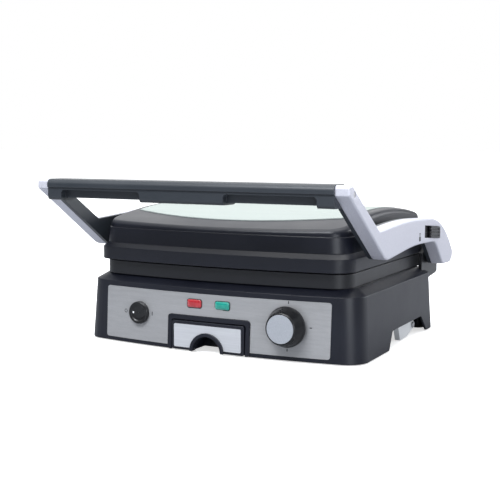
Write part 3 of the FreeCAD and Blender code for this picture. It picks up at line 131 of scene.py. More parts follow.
# %% Floor and backdrop
FLOOR_REACH = 60.0
FLOOR_GLOW = 0.62
floor_mesh = bpy.data.meshes.new("floor")
floor_corners = [(x * FLOOR_REACH, y * FLOOR_REACH, 0) for x, y in ((-1, -1), (1, -1), (1, 1), (-1, 1))]
floor_mesh.from_pydata(floor_corners, [], [(0, 1, 2, 3)])
floor = put_in_scene("floor", floor_mesh)

floor_paint = bpy.data.materials.new("floor_paint")
floor_paint.use_nodes = True
floor_tree = floor_paint.node_tree
paper = floor_tree.nodes["Principled BSDF"]
paper.inputs["Base Color"].default_value = (0.80, 0.80, 0.80, 1)
paper.inputs["Roughness"].default_value = 0.9
paper.inputs["Specular IOR Level"].default_value = 0.1
paper.inputs["Emission Color"].default_value = (1, 1, 1, 1)
paper.inputs["Emission Strength"].default_value = FLOOR_GLOW
dim_paper = floor_tree.nodes.new("ShaderNodeBsdfDiffuse")
dim_paper.inputs["Color"].default_value = (0.33, 0.34, 0.36, 1)
ray = floor_tree.nodes.new("ShaderNodeLightPath")
either = floor_tree.nodes.new("ShaderNodeMixShader")
floor_tree.links.new(ray.outputs["Is Camera Ray"], either.inputs["Fac"])
floor_tree.links.new(dim_paper.outputs["BSDF"], either.inputs[1])
floor_tree.links.new(paper.outputs["BSDF"], either.inputs[2])
floor_tree.links.new(either.outputs["Shader"], floor_tree.nodes["Material Output"].inputs["Surface"])
floor_mesh.materials.append(floor_paint)
print("floor reach:", FLOOR_REACH, "m")

# %% Room light
HORIZON_LIGHT = 0.10
OVERHEAD_LIGHT = 0.9
world = bpy.data.worlds.new("studio")
bpy.context.scene.world = world
world.use_nodes = True
sky = world.node_tree
sky.nodes.clear()
direction = sky.nodes.new("ShaderNodeTexCoord")
upward = sky.nodes.new("ShaderNodeSeparateXYZ")
overhead = sky.nodes.new("ShaderNodeMapRange")
overhead.interpolation_type = "SMOOTHSTEP"
overhead.inputs["From Min"].default_value = 0.05
overhead.inputs["From Max"].default_value = 0.85
overhead.inputs["To Min"].default_value = HORIZON_LIGHT
overhead.inputs["To Max"].default_value = OVERHEAD_LIGHT
room_light = sky.nodes.new("ShaderNodeBackground")
room_light.inputs["Color"].default_value = (0.94, 0.97, 1.0, 1)
backdrop = sky.nodes.new("ShaderNodeBackground")
backdrop.inputs["Color"].default_value = (1, 1, 1, 1)
seen = sky.nodes.new("ShaderNodeLightPath")
choose = sky.nodes.new("ShaderNodeMixShader")
world_out = sky.nodes.new("ShaderNodeOutputWorld")
sky.links.new(direction.outputs["Generated"], upward.inputs["Vector"])
sky.links.new(upward.outputs["Z"], overhead.inputs["Value"])
sky.links.new(overhead.outputs["Result"], room_light.inputs["Strength"])
sky.links.new(seen.outputs["Is Camera Ray"], choose.inputs["Fac"])
sky.links.new(room_light.outputs["Background"], choose.inputs[1])
sky.links.new(backdrop.outputs["Background"], choose.inputs[2])
sky.links.new(choose.outputs["Shader"], world_out.inputs["Surface"])
print("room light, horizon to overhead:", HORIZON_LIGHT, OVERHEAD_LIGHT)


# %% Soft lamps
def softbox(name, place, width, height, watts, colour=(1, 1, 1)):
    """A rectangular lamp that faces the middle of the grill."""
    data = bpy.data.lights.new(name, "AREA")
    data.shape = "RECTANGLE"
    data.size, data.size_y = width, height
    data.energy = watts
    data.color = colour
    lamp = put_in_scene(name, data)
    lamp.location = place
    lamp.rotation_mode = "QUATERNION"
    towards = (cad_low + cad_high) / 2 - Vector(place)
    lamp.rotation_quaternion = towards.to_track_quat("-Z", "Y")


PALE_BLUE = (0.94, 0.96, 1.0)
KEY_BLUE = (0.93, 0.96, 1.0)
LOW_BLUE = (0.90, 0.94, 1.0)
softbox("top_light", (0.0, 0.3, 2.2), width=2.2, height=1.6, watts=26)
softbox("back_light", (-1.2, 2.6, 1.2), width=3.2, height=1.4, watts=15)
softbox("back_right_light", (2.0, 2.2, 0.75), width=2.0, height=1.1, watts=34, colour=PALE_BLUE)
softbox("front_key", (-0.2, -2.0, 2.5), width=1.8, height=1.2, watts=108, colour=KEY_BLUE)
softbox("low_light", (1.35, -1.35, 0.3), width=0.9, height=0.5, watts=9, colour=LOW_BLUE)
bpy.context.scene.view_settings.view_transform = "Standard"

# %% [markdown]
# ## Effects that several finishes share
#
# Moulded plastic has a fine spark-eroded grain and never reflects quite evenly. Brushed steel has fine
# scratches that run one way. Silver paint holds tiny metal flakes. Each effect is one node group with
# named inputs, so that every finish can use it at its own scale. A group gives back plain values: the
# shader itself stays in the material.


# %% A helper that starts a node group
def effect_group(name, inputs, outputs):
    """A shader node group with float inputs (name, value) and named float outputs."""
    group = bpy.data.node_groups.new(name, "ShaderNodeTree")
    for label, value in inputs:
        socket = group.interface.new_socket(label, in_out="INPUT", socket_type="NodeSocketFloat")
        socket.default_value = value
    for label in outputs:
        group.interface.new_socket(label, in_out="OUTPUT", socket_type="NodeSocketFloat")
    start = group.nodes.new("NodeGroupInput")
    end = group.nodes.new("NodeGroupOutput")
    return group, start, end


def math_node(tree, operation, first, second=None):
    """A math node whose operands are sockets or numbers."""
    node = tree.nodes.new("ShaderNodeMath")
    node.operation = operation
    for socket, operand in zip(node.inputs, (first, second)):
        if operand is None:
            continue
        if isinstance(operand, (int, float)):
            socket.default_value = operand
        else:
            tree.links.new(operand, socket)
    return node.outputs["Value"]


print("helpers for effects:", effect_group.__name__, math_node.__name__)

# %% Moulded grain: fine pits and slow unevenness
grain, grain_in, grain_out = effect_group(
    "moulded_grain", [("Grain Scale", 1400.0), ("Patch Scale", 14.0)], ["Height", "Patches"]
)
grain_place = grain.nodes.new("ShaderNodeTexCoord")
pits = grain.nodes.new("ShaderNodeTexNoise")
pits.inputs["Detail"].default_value = 3.0
grain.links.new(grain_place.outputs["Object"], pits.inputs["Vector"])
grain.links.new(grain_in.outputs["Grain Scale"], pits.inputs["Scale"])
patches = grain.nodes.new("ShaderNodeTexNoise")
patches.inputs["Detail"].default_value = 4.0
patches.inputs["Roughness"].default_value = 0.6
grain.links.new(grain_place.outputs["Object"], patches.inputs["Vector"])
grain.links.new(grain_in.outputs["Patch Scale"], patches.inputs["Scale"])
grain.links.new(pits.outputs["Fac"], grain_out.inputs["Height"])
grain.links.new(patches.outputs["Fac"], grain_out.inputs["Patches"])
print("group:", grain.name, len(grain.nodes), "nodes")

# %% Brushed lines: scratches stretched along X
STRETCH = 60.0
BAND_SHARE = 0.12
brushed, brushed_in, brushed_out = effect_group(
    "brushed_lines", [("Line Scale", 2600.0)], ["Height", "Tone"]
)
brushed_place = brushed.nodes.new("ShaderNodeTexCoord")
squeeze = brushed.nodes.new("ShaderNodeMapping")
squeeze.inputs["Scale"].default_value = (1.0 / STRETCH, 1.0, 1.0)
brushed.links.new(brushed_place.outputs["Object"], squeeze.inputs["Vector"])
lines = brushed.nodes.new("ShaderNodeTexNoise")
lines.inputs["Detail"].default_value = 2.0
brushed.links.new(squeeze.outputs["Vector"], lines.inputs["Vector"])
brushed.links.new(brushed_in.outputs["Line Scale"], lines.inputs["Scale"])
bands = brushed.nodes.new("ShaderNodeTexNoise")
bands.inputs["Detail"].default_value = 3.0
brushed.links.new(squeeze.outputs["Vector"], bands.inputs["Vector"])
band_scale = math_node(brushed, "MULTIPLY", brushed_in.outputs["Line Scale"], BAND_SHARE)
brushed.links.new(band_scale, bands.inputs["Scale"])
mixed = math_node(brushed, "ADD", lines.outputs["Fac"], bands.outputs["Fac"])
brushed.links.new(lines.outputs["Fac"], brushed_out.inputs["Height"])
brushed.links.new(math_node(brushed, "MULTIPLY", mixed, 0.5), brushed_out.inputs["Tone"])
print("group:", brushed.name, len(brushed.nodes), "nodes")

# %% Flakes: small cells of slightly different brightness
PEEL_SHARE = 0.2
flakes, flakes_in, flakes_out = effect_group(
    "paint_flakes", [("Flake Scale", 2200.0)], ["Tone", "Orange Peel"]
)
flakes_place = flakes.nodes.new("ShaderNodeTexCoord")
cells = flakes.nodes.new("ShaderNodeTexVoronoi")
flakes.links.new(flakes_place.outputs["Object"], cells.inputs["Vector"])
flakes.links.new(flakes_in.outputs["Flake Scale"], cells.inputs["Scale"])
split = flakes.nodes.new("ShaderNodeSeparateColor")
flakes.links.new(cells.outputs["Color"], split.inputs["Color"])
peel = flakes.nodes.new("ShaderNodeTexNoise")
peel.inputs["Detail"].default_value = 1.0
flakes.links.new(flakes_place.outputs["Object"], peel.inputs["Vector"])
peel_scale = math_node(flakes, "MULTIPLY", flakes_in.outputs["Flake Scale"], PEEL_SHARE)
flakes.links.new(peel_scale, peel.inputs["Scale"])
flakes.links.new(split.outputs["Red"], flakes_out.inputs["Tone"])
flakes.links.new(peel.outputs["Fac"], flakes_out.inputs["Orange Peel"])
print("group:", flakes.name, len(flakes.nodes), "nodes")

# %% [markdown]
# ## Rounded edges in the shading
#
# A moulded edge has a small round that catches a line of light. Cutting every edge of every casing into more
# faces would be slow. So this group turns the surface normal near each edge as if it were rounded by the
# given radius, and only the parts that the eye rests on get real rounds later.

# %% Normals of a rounded edge
edge_round, edge_in, edge_out = effect_group("edge_round", [("Radius", 0.0008)], [])
edge_round.interface.new_socket("Normal", in_out="OUTPUT", socket_type="NodeSocketVector")
bevel = edge_round.nodes.new("ShaderNodeBevel")
bevel.samples = 6
edge_round.links.new(edge_in.outputs["Radius"], bevel.inputs["Radius"])
edge_round.links.new(bevel.outputs["Normal"], edge_out.inputs["Normal"])
print("group:", edge_round.name, len(edge_round.nodes), "nodes")

# %% [markdown]
# ## Finishes
#
# Each finish is a Principled BSDF whose colour, roughness and bump come from the groups above. A small
# helper places a group, mixes two close shades with one of its values and lets another value move the
# roughness, so that no surface is one flat tone.


# %% Helpers for finishes
def new_finish(name, **sockets):
    """An empty finish: its material, node tree and Principled BSDF with plain socket values."""
    finish = bpy.data.materials.new(name)
    finish.use_nodes = True
    shader = finish.node_tree.nodes["Principled BSDF"]
    for label, value in sockets.items():
        shader.inputs[label.replace("_", " ")].default_value = value
    return finish, finish.node_tree, shader


def place_group(tree, group, **values):
    """Places an effect group in a finish with its own input values."""
    node = tree.nodes.new("ShaderNodeGroup")
    node.node_tree = group
    for label, value in values.items():
        node.inputs[label.replace("_", " ")].default_value = value
    return node


def between(tree, value, low, high, from_low=0.3, from_high=0.7):
    """Maps a group's value onto a range of roughness or strength."""
    node = tree.nodes.new("ShaderNodeMapRange")
    node.inputs["From Min"].default_value = from_low
    node.inputs["From Max"].default_value = from_high
    node.inputs["To Min"].default_value = low
    node.inputs["To Max"].default_value = high
    tree.links.new(value, node.inputs["Value"])
    return node.outputs["Result"]


def shade(tree, value, first, second, shader, from_low=0.3, from_high=0.7):
    """Colours the shader with two close shades, mixed by a value."""
    node = tree.nodes.new("ShaderNodeMix")
    node.data_type = "RGBA"
    node.inputs["A"].default_value = (*first, 1)
    node.inputs["B"].default_value = (*second, 1)
    tree.links.new(between(tree, value, 0, 1, from_low, from_high), node.inputs["Factor"])
    tree.links.new(node.outputs["Result"], shader.inputs["Base Color"])


def bump(tree, height, shader, strength, distance, round_radius=0.0):
    """Raises the surface by a height, on top of edges rounded by a radius."""
    node = tree.nodes.new("ShaderNodeBump")
    node.inputs["Strength"].default_value = strength
    node.inputs["Distance"].default_value = distance
    tree.links.new(height, node.inputs["Height"])
    tree.links.new(node.outputs["Normal"], shader.inputs["Normal"])
    if round_radius:
        edges = place_group(tree, edge_round, Radius=round_radius)
        tree.links.new(edges.outputs["Normal"], node.inputs["Normal"])


print("helpers for finishes:", [tool.__name__ for tool in (new_finish, place_group, between, shade, bump)])


# %% Moulded plastics and rubber
def moulded(name, dark, light, rough, grain_scale=1400.0, depth=0.00004, round_radius=0.0, **sockets):
    """Grained plastic or rubber in two close shades; rough holds the lowest and highest roughness."""
    finish, tree, shader = new_finish(name, **sockets)
    texture = place_group(tree, grain, Grain_Scale=grain_scale)
    shade(tree, texture.outputs["Patches"], dark, light, shader)
    tree.links.new(between(tree, texture.outputs["Patches"], *rough), shader.inputs["Roughness"])
    bump(tree, texture.outputs["Height"], shader, 0.35, depth, round_radius)
    return finish


body_plastic = moulded(
    "body_plastic",
    dark=(0.0060, 0.0070, 0.0125),
    light=(0.0088, 0.0100, 0.0172),
    rough=(0.31, 0.39),
    round_radius=0.0011,
    Specular_IOR_Level=0.42,
)
grip_plastic = moulded(
    "grip_plastic",
    dark=(0.024, 0.029, 0.036),
    light=(0.031, 0.036, 0.044),
    rough=(0.34, 0.42),
    round_radius=0.0006,
)
knob_plastic = moulded(
    "knob_plastic",
    dark=(0.005, 0.005, 0.006),
    light=(0.008, 0.008, 0.0095),
    rough=(0.24, 0.32),
    grain_scale=1800.0,
    depth=0.00002,
    round_radius=0.0005,
)
rubber = moulded("soft_rubber", (0.016, 0.016, 0.016), (0.024, 0.024, 0.024), rough=(0.65, 0.8))
grey_plastic = moulded("grey_plastic", (0.74, 0.75, 0.76), (0.80, 0.81, 0.82), rough=(0.42, 0.52))
cream_plastic = moulded("cream_phenolic", (0.60, 0.57, 0.48), (0.66, 0.63, 0.55), rough=(0.5, 0.6))
white_inlay = moulded("white_inlay", (0.80, 0.80, 0.80), (0.86, 0.86, 0.86), rough=(0.35, 0.45))
dark_print = moulded("dark_print", (0.030, 0.030, 0.034), (0.045, 0.045, 0.05), rough=(0.5, 0.6))
print("moulded finishes:", 8)


# %% Steel, sheet metal and castings
def brushed_metal(name, dark, light, rough, line_scale=2600.0, **sockets):
    """Metal with fine lines along X; rough holds the lowest and highest roughness."""
    finish, tree, shader = new_finish(name, **sockets)
    texture = place_group(tree, brushed, Line_Scale=line_scale)
    shade(tree, texture.outputs["Tone"], dark, light, shader, 0.35, 0.65)
    tree.links.new(between(tree, texture.outputs["Tone"], *rough), shader.inputs["Roughness"])
    bump(tree, texture.outputs["Height"], shader, 0.25, 0.00002)
    return finish


stainless = brushed_metal(
    "brushed_stainless",
    dark=(0.36, 0.36, 0.37),
    light=(0.42, 0.42, 0.43),
    rough=(0.36, 0.46),
    line_scale=3400.0,
    Metallic=0.45,
)
tray_sheet = brushed_metal(
    "tray_sheet",
    dark=(0.56, 0.57, 0.60),
    light=(0.64, 0.65, 0.68),
    rough=(0.36, 0.46),
    line_scale=3400.0,
    Metallic=0.35,
)
top_sheet = brushed_metal(
    "top_sheet",
    dark=(0.345, 0.385, 0.362),
    light=(0.395, 0.435, 0.412),
    rough=(0.42, 0.50),
    Metallic=0.0,
    Specular_IOR_Level=0.2,
)
plain_steel = brushed_metal(
    "zinc_steel", (0.42, 0.42, 0.43), (0.55, 0.55, 0.56), rough=(0.3, 0.42), Metallic=1.0
)
reflector_sheet = brushed_metal(
    "reflector_sheet", (0.62, 0.63, 0.64), (0.72, 0.73, 0.74), rough=(0.2, 0.3), Metallic=1.0
)
heater_sheath = brushed_metal(
    "heater_sheath", (0.07, 0.065, 0.06), (0.12, 0.10, 0.09), rough=(0.45, 0.6), Metallic=0.7
)
cast_coating = moulded(
    "non_stick_casting",
    dark=(0.006, 0.0065, 0.009),
    light=(0.0095, 0.010, 0.0135),
    rough=(0.34, 0.44),
    grain_scale=700.0,
    depth=0.00006,
    round_radius=0.0010,
)
print("metal finishes:", 7)


# %% Silver paint
def painted_silver(name, dark, light, rough, round_radius, **sockets):
    """Silver paint with flakes; rough holds the lowest and highest roughness."""
    finish, tree, shader = new_finish(name, **sockets)
    texture = place_group(tree, flakes)
    shade(tree, texture.outputs["Tone"], dark, light, shader, 0.0, 1.0)
    tree.links.new(between(tree, texture.outputs["Tone"], *rough, 0.0, 1.0), shader.inputs["Roughness"])
    bump(tree, texture.outputs["Orange Peel"], shader, 0.08, 0.00003, round_radius)
    return finish


silver_paint = painted_silver(
    "silver_paint",
    dark=(0.58, 0.58, 0.65),
    light=(0.68, 0.68, 0.75),
    rough=(0.34, 0.44),
    round_radius=0.0014,
    Metallic=0.3,
)
cap_paint = painted_silver(
    "cap_paint",
    dark=(0.38, 0.40, 0.44),
    light=(0.46, 0.48, 0.52),
    rough=(0.38, 0.46),
    round_radius=0.0006,
    Metallic=0.35,
)
print("painted finishes:", 2)


# %% Lamp lenses
def lens_finish(name, deep, bright):
    """Tinted acrylic over a milky core: a little light comes through, and the face is glossy."""
    finish, tree, shader = new_finish(
        name, IOR=1.49, Transmission_Weight=0.15, Coat_Weight=0.8, Coat_Roughness=0.12
    )
    texture = place_group(tree, grain, Grain_Scale=600.0, Patch_Scale=160.0)
    shade(tree, texture.outputs["Patches"], deep, bright, shader)
    tree.links.new(between(tree, texture.outputs["Patches"], 0.12, 0.2), shader.inputs["Roughness"])
    bump(tree, texture.outputs["Height"], shader, 0.1, 0.00002)
    return finish


red_lens = lens_finish("red_lens", (0.40, 0.012, 0.02), (0.55, 0.03, 0.04))
green_lens = lens_finish("green_lens", (0.0, 0.26, 0.20), (0.01, 0.38, 0.30))
neon_glass = lens_finish("neon_glass", (0.75, 0.42, 0.25), (0.85, 0.55, 0.35))
print("lens finishes:", 3)

# %% [markdown]
# ## Finishes on the working parts
#
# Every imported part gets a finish. The outer mouldings are then softened: a real moulding has no knife
# edges, and it is the thin highlight along a rounded edge that makes plastic look like plastic.

# %% Which finish goes on which part
FINISHES = {
    body_plastic: (
        "base_housing", "bottom_cover", "drip_tray", "tray_front", "tray_rails", "lid_rim", "lid_cover",
    ),
    knob_plastic: (
        "hinge_brackets", "power_knob", "thermostat_knob", "lock_slot_plate", "lock_button",
        "lid_pivot_bushes",
    ),
    grip_plastic: ("left_arm_liner", "right_arm_liner", "handle_grip_top", "handle_grip_bottom"),
    silver_paint: ("left_arm_cover", "right_arm_cover"),
    cap_paint: ("thermostat_knob_cap",),
    stainless: ("front_fascia",),
    tray_sheet: ("tray_trim_plate",),
    top_sheet: ("lid_top_panel",),
    plain_steel: (
        "bracket_screws", "cover_screws", "hinge_pins", "grease_chute", "handle_core", "arm_screws",
        "lid_pivot_pins", "tilt_foot_pins",
    ),
    reflector_sheet: ("lower_heat_reflector", "upper_heat_reflector"),
    heater_sheath: ("lower_heating_element", "upper_heating_element"),
    cast_coating: ("lower_plate", "upper_plate"),
    rubber: ("rubber_feet", "cord_gland"),
    grey_plastic: ("rear_rest_pads", "right_tilt_foot", "left_tilt_foot"),
    cream_plastic: ("power_switch", "thermostat", "terminal_block", "thermal_fuse"),
    white_inlay: ("power_knob_dot",),
    red_lens: ("red_lamp_lens",),
    green_lens: ("green_lamp_lens",),
    neon_glass: ("neon_lamps",),
}
finish_of = {}
for finish, names in FINISHES.items():
    for name in names:
        finish_of[name] = finish
        for slot in frame["nodes"][name].material_slots:
            slot.material = finish
print("parts with a finish:", len(finish_of), "of", len(frame["nodes"]))

# %% Softened copies of the outer parts
body_of = {name: body for body, names in frame["record"]["behaviour"]["bodies"].items() for name in names}
FLAT_ENOUGH = math.radians(0.6)
SHARP_FROM = math.radians(32)
ROUND_STEPS = 3
SAME_POINT = 1e-7


def softened(node, width):
    """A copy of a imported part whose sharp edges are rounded; it stands for the part."""
    mesh = frame["nodes"][node].data.copy()
    work = bmesh.new()
    work.from_mesh(mesh)
    bmesh.ops.remove_doubles(work, verts=work.verts, dist=SAME_POINT)
    bmesh.ops.dissolve_limit(
        work, angle_limit=FLAT_ENOUGH, verts=work.verts, edges=work.edges, delimit={"NORMAL"}
    )
    sharp = [
        edge for edge in work.edges if len(edge.link_faces) == 2 and edge.calc_face_angle(0) > SHARP_FROM
    ]
    bmesh.ops.bevel(
        work,
        geom=sharp,
        offset=width,
        offset_type="OFFSET",
        segments=ROUND_STEPS,
        profile=0.5,
        affect="EDGES",
        clamp_overlap=True,
        loop_slide=True,
    )
    for face in work.faces:
        face.smooth = True
    work.to_mesh(mesh)
    work.free()
    mesh.name = f"{node}_soft"
    piece = put_in_scene(f"{node}_soft", mesh)
    mesh.materials.clear()
    mesh.materials.append(finish_of[node])
    even = piece.modifiers.new("even_shading", "WEIGHTED_NORMAL")
    even.keep_sharp = True
    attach(piece, body_of[node])
    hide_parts(node)


EDGE_ROUNDS = {
    "lid_rim": 0.0008,
    "handle_grip_top": 0.0006,
    "handle_grip_bottom": 0.0009,
    "tray_front": 0.0005,
    "thermostat_knob": 0.0005,
    "lock_button": 0.0004,
}
for node, width in EDGE_ROUNDS.items():
    softened(node, width)
print("softened parts:", len(EDGE_ROUNDS))

# %% [markdown]
# ## The switch knob
#
# The small knob at the left is a turned disc with a rounded rim and a shallow dish, and a white dot lies in
# the dish. A lathe makes it: one profile, from the sheet metal outwards and then in to the centre, is turned
# about the knob's own axis. It stands for the plain packed knob, so it turns with it.


# %% A lathe about an axis that runs along Y
def new_piece(name, vertices, faces, finish, body, slot, stands_for=()):
    """A mesh piece with a finish, riding on a body of the grill."""
    mesh = bpy.data.meshes.new(name)
    mesh.from_pydata(vertices, [], faces)
    mesh.materials.append(finish)
    for face in mesh.polygons:
        face.use_smooth = True
    piece = put_in_scene(name, mesh)
    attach(piece, body)
    if stands_for:
        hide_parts(*stands_for)
    return piece


def turned(name, centre, profile, finish, body, slot, stands_for=(), steps=72):
    """Turns a profile of (radius, y) about the Y axis through a centre; it closes at both ends."""
    vertices, faces = [], []
    for radius, y in profile:
        for step in range(steps):
            angle = 2 * math.pi * step / steps
            vertices.append((centre.x + radius * math.cos(angle), y, centre.z + radius * math.sin(angle)))
    for ring in range(len(profile) - 1):
        for step in range(steps):
            after = (step + 1) % steps
            low, high = ring * steps, (ring + 1) * steps
            faces.append((low + step, low + after, high + after, high + step))
    faces.append(tuple(range(steps)))
    faces.append(tuple(range(len(profile) * steps - 1, (len(profile) - 1) * steps - 1, -1)))
    return new_piece(name, vertices, faces, finish, body, slot, stands_for)


print("helpers for pieces:", new_piece.__name__, turned.__name__)

# %% Dished switch knob
knob_low, knob_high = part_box("power_knob")
knob_centre = (knob_low + knob_high) / 2
knob_radius = (knob_high.x - knob_low.x) / 2
face_y = knob_low.y
DISH_DEPTH = 0.0016
RIM_ROUND = 0.0014
rim_turns = [math.radians(15 * turn) for turn in range(0, 7)]
knob_profile = [(knob_radius * 0.6, knob_high.y), (knob_radius, knob_high.y)]
knob_profile += [
    (knob_radius - RIM_ROUND + RIM_ROUND * math.cos(turn), face_y + RIM_ROUND - RIM_ROUND * math.sin(turn))
    for turn in rim_turns
]
dish_edge = knob_radius - 2 * RIM_ROUND
knob_profile += [
    (dish_edge, face_y + RIM_ROUND * 0.3),
    (dish_edge - 0.0007, face_y + DISH_DEPTH * 0.7),
    (dish_edge - 0.0018, face_y + DISH_DEPTH * 0.95),
    (dish_edge * 0.5, face_y + DISH_DEPTH),
    (0.0002, face_y + DISH_DEPTH),
]
turned("switch_knob", knob_centre, knob_profile, knob_plastic, "power_knob", "knob_black", ("power_knob",))
print("switch knob radius:", round(knob_radius, 4), "dish:", DISH_DEPTH)

# %% White dot in the dish
DOT_RISE = 0.0003
dot_low, dot_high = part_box("power_knob_dot")
dot_centre = (dot_low + dot_high) / 2
dot_radius = (dot_high.x - dot_low.x) / 2
dot_top = face_y + DISH_DEPTH - DOT_RISE
dot_profile = [
    (dot_radius, face_y + DISH_DEPTH + 0.0002),
    (dot_radius, dot_top + 0.0001),
    (dot_radius * 0.8, dot_top),
    (0.0001, dot_top),
]
turned(
    "switch_dot", dot_centre, dot_profile, white_inlay, "power_knob", "white_mark", ("power_knob_dot",), 24
)
print("dot radius:", round(dot_radius, 4), "above the dish:", DOT_RISE)

# %% [markdown]
# ## Printed marks
#
# The steel front carries small printed marks: a ring and a bar beside the switch, and ticks around the
# dial. The arm carries a small lock sign ahead of the slide. Ink has almost no thickness, so each mark is a
# leaf that follows the surface a few hundredths of a millimetre in front of it. A ray towards the
# surface finds the place of every corner.

# %% Leaves of ink laid on a surface
INK = 0.00005


def on_surface(node, start, towards):
    """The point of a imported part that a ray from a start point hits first."""
    part = frame["nodes"][node]
    inward = part.matrix_world.inverted()
    hit, point, *_ = part.ray_cast(inward @ Vector(start), inward.to_3x3() @ Vector(towards))
    if not hit:
        raise ValueError(f"no surface of {node} in front of {start}")
    return part.matrix_world @ point - Vector(towards) * INK


def ink_leaf(name, node, outline_points, towards, body, finish):
    """A thin printed shape: its outline is laid on the part along a direction and filled."""
    laid = [on_surface(node, point, towards) for point in outline_points]
    facing = Vector(towards)
    around = sum(((a - laid[0]).cross(b - laid[0]) for a, b in zip(laid, laid[1:])), Vector())
    if around.dot(facing) > 0:
        laid.reverse()
    count = len(laid)
    back = [point + facing * INK * 0.8 for point in laid]
    sides = [(i, i + count, (i + 1) % count + count, (i + 1) % count) for i in range(count)]
    faces = [tuple(range(count)), tuple(range(2 * count - 1, count - 1, -1)), *sides]
    leaf = new_piece(name, [*laid, *back], faces, finish, body, "black_body")
    for face in leaf.data.polygons:
        face.use_smooth = False


print("helpers for ink:", on_surface.__name__, ink_leaf.__name__, "thickness:", INK)

# %% Ring and bar beside the switch
MARK_GAP = 0.0042
BAR_WIDE, BAR_TALL = 0.0010, 0.0042
RING_RADIUS, RING_LINE, RING_PARTS = 0.0017, 0.0006, 12
SEGMENT_LONG = 0.00095
SHEET_FRONT = cad_low.y - 0.05
INTO_SHEET = (0, 1, 0)


def flat_shape(centre_x, centre_z, across, tall, turned_by=0.0):
    """Corner points of a small rectangle that stands in front of the steel."""
    points = []
    for corner in range(4):
        angle = 2 * math.pi * (corner + 0.5) / 4
        x = math.cos(angle) * across / 2 * math.sqrt(2)
        z = math.sin(angle) * tall / 2 * math.sqrt(2)
        spun_x = x * math.cos(turned_by) - z * math.sin(turned_by)
        spun_z = x * math.sin(turned_by) + z * math.cos(turned_by)
        points.append((centre_x + spun_x, SHEET_FRONT, centre_z + spun_z))
    return points


bar = flat_shape(knob_centre.x + knob_radius + MARK_GAP, knob_centre.z, BAR_WIDE, BAR_TALL)
ink_leaf("switch_on_bar", "front_fascia", bar, INTO_SHEET, "base", dark_print)
ring_x = knob_centre.x - knob_radius - 1.9 * MARK_GAP
for part_number in range(RING_PARTS):
    angle = 2 * math.pi * part_number / RING_PARTS
    x, z = ring_x + RING_RADIUS * math.cos(angle), knob_centre.z + RING_RADIUS * math.sin(angle)
    segment = flat_shape(x, z, RING_LINE, SEGMENT_LONG, angle)
    ink_leaf(f"switch_off_ring_{part_number}", "front_fascia", segment, INTO_SHEET, "base", dark_print)
print("marks beside the switch:", RING_PARTS + 1)

# %% Ticks around the dial
TICK_GAP = 0.0032
TICK_LONG, TICK_WIDE = 0.0026, 0.0011
dial_low, dial_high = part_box("thermostat_knob")
dial_centre = (dial_low + dial_high) / 2
dial_radius = (dial_high.x - dial_low.x) / 2
tick_reach = dial_radius + TICK_GAP
dial_ticks = {"low": -90, "middle": 0, "high": 90}
for setting, degrees in dial_ticks.items():
    turn = math.radians(degrees)
    x, z = dial_centre.x + tick_reach * math.cos(turn), dial_centre.z + tick_reach * math.sin(turn)
    tick = flat_shape(x, z, TICK_LONG, TICK_WIDE, turn)
    ink_leaf(f"dial_tick_{setting}", "front_fascia", tick, INTO_SHEET, "base", dark_print)
print("ticks around the dial:", len(dial_ticks))

# %% Lock sign on the arm
slot_low, slot_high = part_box("lock_slot_plate")
sign_y = slot_low.y - 0.018
sign_z = (slot_low.z + slot_high.z) / 2 - 0.002
ARM_SIDE = cad_high.x + 0.05
INTO_ARM = (-1, 0, 0)
SIGN_WIDE, SIGN_BODY, SHACKLE, LINE = 0.0066, 0.0048, 0.0042, 0.0011
POST_REACH = SIGN_WIDE * 0.36
sign_bars = {
    "body": (-SIGN_WIDE / 2, SIGN_WIDE / 2, -SIGN_BODY, 0),
    "front_post": (-POST_REACH, -POST_REACH + LINE, 0.0002, SHACKLE - LINE),
    "rear_post": (POST_REACH - LINE, POST_REACH, 0.0002, SHACKLE - LINE),
    "bow": (-POST_REACH, POST_REACH, SHACKLE - LINE + 0.0001, SHACKLE),
}
for label, (front, rear, low, high) in sign_bars.items():
    around = ((front, low), (rear, low), (rear, high), (front, high))
    sign_corners = [(ARM_SIDE, sign_y + along, sign_z + up) for along, up in around]
    ink_leaf(f"lock_sign_{label}", "right_arm_cover", sign_corners, INTO_ARM, "arms", dark_print)
print("lock sign at y:", round(sign_y, 4))

# %% [markdown]
# ## The two lamps
#
# Each lamp is a small cushion of tinted acrylic, ringed by a thin black rim. That rim is painted shade: it
# stands for the darker edge of the lens, where the lens turns away from the light. The cushion bulges a
# little, and that bulge is what catches the room's light as a pale line near its upper edge. It is built as
# rings of one rounded rectangle, each set further in and further forward than the last.

# %% Helpers for cushions of nested rings
def rounded_rectangle(half_wide, half_tall, corner, steps=6):
    """Points around a rectangle with rounded corners, about its centre."""
    points = []
    for quarter, (side_x, side_z) in enumerate(((1, 1), (-1, 1), (-1, -1), (1, -1))):
        for step in range(steps + 1):
            angle = math.pi / 2 * (quarter + step / steps)
            points.append(
                (
                    side_x * (half_wide - corner) + corner * math.cos(angle),
                    side_z * (half_tall - corner) + corner * math.sin(angle),
                )
            )
    return points


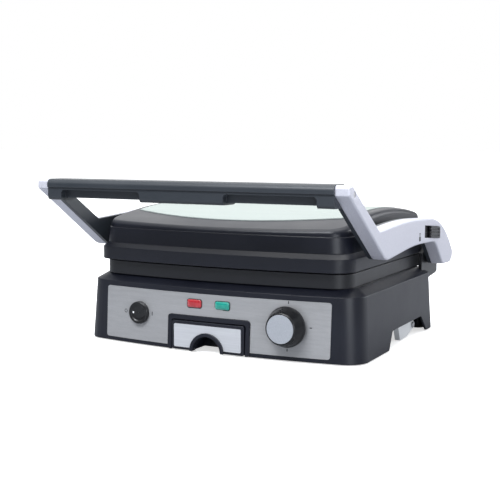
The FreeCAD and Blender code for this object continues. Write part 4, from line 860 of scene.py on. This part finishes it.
def nested_rings(name, centre, rings, finish, body, slot, stands_for=()):
    """Joins rounded rectangles (half width, half height, corner, y) into one closed cushion."""
    vertices = []
    for half_wide, half_tall, corner, y in rings:
        outline_points = rounded_rectangle(half_wide, half_tall, corner)
        vertices += [(centre.x + x, y, centre.z + z) for x, z in outline_points]
    count = len(outline_points)
    faces = [tuple(range(count)), tuple(range(len(vertices) - 1, len(vertices) - count - 1, -1))]
    for ring in range(len(rings) - 1):
        low = ring * count
        faces += [
            (low + i, low + count + i, low + count + (i + 1) % count, low + (i + 1) % count)
            for i in range(count)
        ]
    return new_piece(name, vertices, faces, finish, body, slot, stands_for)


print("helpers for cushions:", rounded_rectangle.__name__, nested_rings.__name__)

# %% Cushion lenses and their black rims of painted shade
BULGE_REACH = 0.0034
BULGE_STEPS = 6
LENS_CORNER, SMALLEST_CORNER = 0.0022, 0.0004
# A thin black rim of painted shade goes round each lens: its width, corner and overlap with the lens.
SHADE_RIM, SHADE_RIM_CORNER, SHADE_RIM_OVERLAP = 0.0007, 0.0028, 0.0001

for colour, finish in (("red", red_lens), ("green", green_lens)):
    lens_node = f"{colour}_lamp_lens"
    lens_low, lens_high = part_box(lens_node)
    lens_centre = (lens_low + lens_high) / 2
    half_wide = (lens_high.x - lens_low.x) / 2 - SHADE_RIM
    half_tall = (lens_high.z - lens_low.z) / 2 - SHADE_RIM
    sheet_y = on_surface(
        "front_fascia", (lens_high.x + 0.003, SHEET_FRONT, lens_centre.z), INTO_SHEET
    ).y
    crown_y = lens_low.y
    skirt_y = sheet_y - (sheet_y - crown_y) * 0.25
    rings = [(half_wide, half_tall, LENS_CORNER, y) for y in (sheet_y + 0.001, skirt_y)]
    for step in range(1, BULGE_STEPS + 1):
        turn = math.pi / 2 * step / BULGE_STEPS
        inset = BULGE_REACH * (1 - math.cos(turn))
        corner = max(LENS_CORNER - inset, SMALLEST_CORNER)
        y = skirt_y + (crown_y - skirt_y) * math.sin(turn)
        rings.append((half_wide - inset, half_tall - inset, corner, y))
    nested_rings(f"{colour}_lens", lens_centre, rings, finish, "base", f"{colour}_lens", (lens_node,))
    # The black ring is painted shade along the lens edge, where the lens turns away from the light.
    shade_rim_front = sheet_y - (sheet_y - crown_y) * 0.22
    outside = (half_wide + SHADE_RIM, half_tall + SHADE_RIM, SHADE_RIM_CORNER)
    inside = (half_wide - SHADE_RIM_OVERLAP, half_tall - SHADE_RIM_OVERLAP, LENS_CORNER - SHADE_RIM_OVERLAP)
    shade_rim_rings = [
        (*outside, sheet_y + 0.0008),
        (*outside, shade_rim_front),
        (*inside, shade_rim_front),
        (*inside, sheet_y + 0.0008),
    ]
    nested_rings(f"{colour}_shade_rim", lens_centre, shade_rim_rings, rubber, "base", "black_body")
print("lamp cushions:", 2)
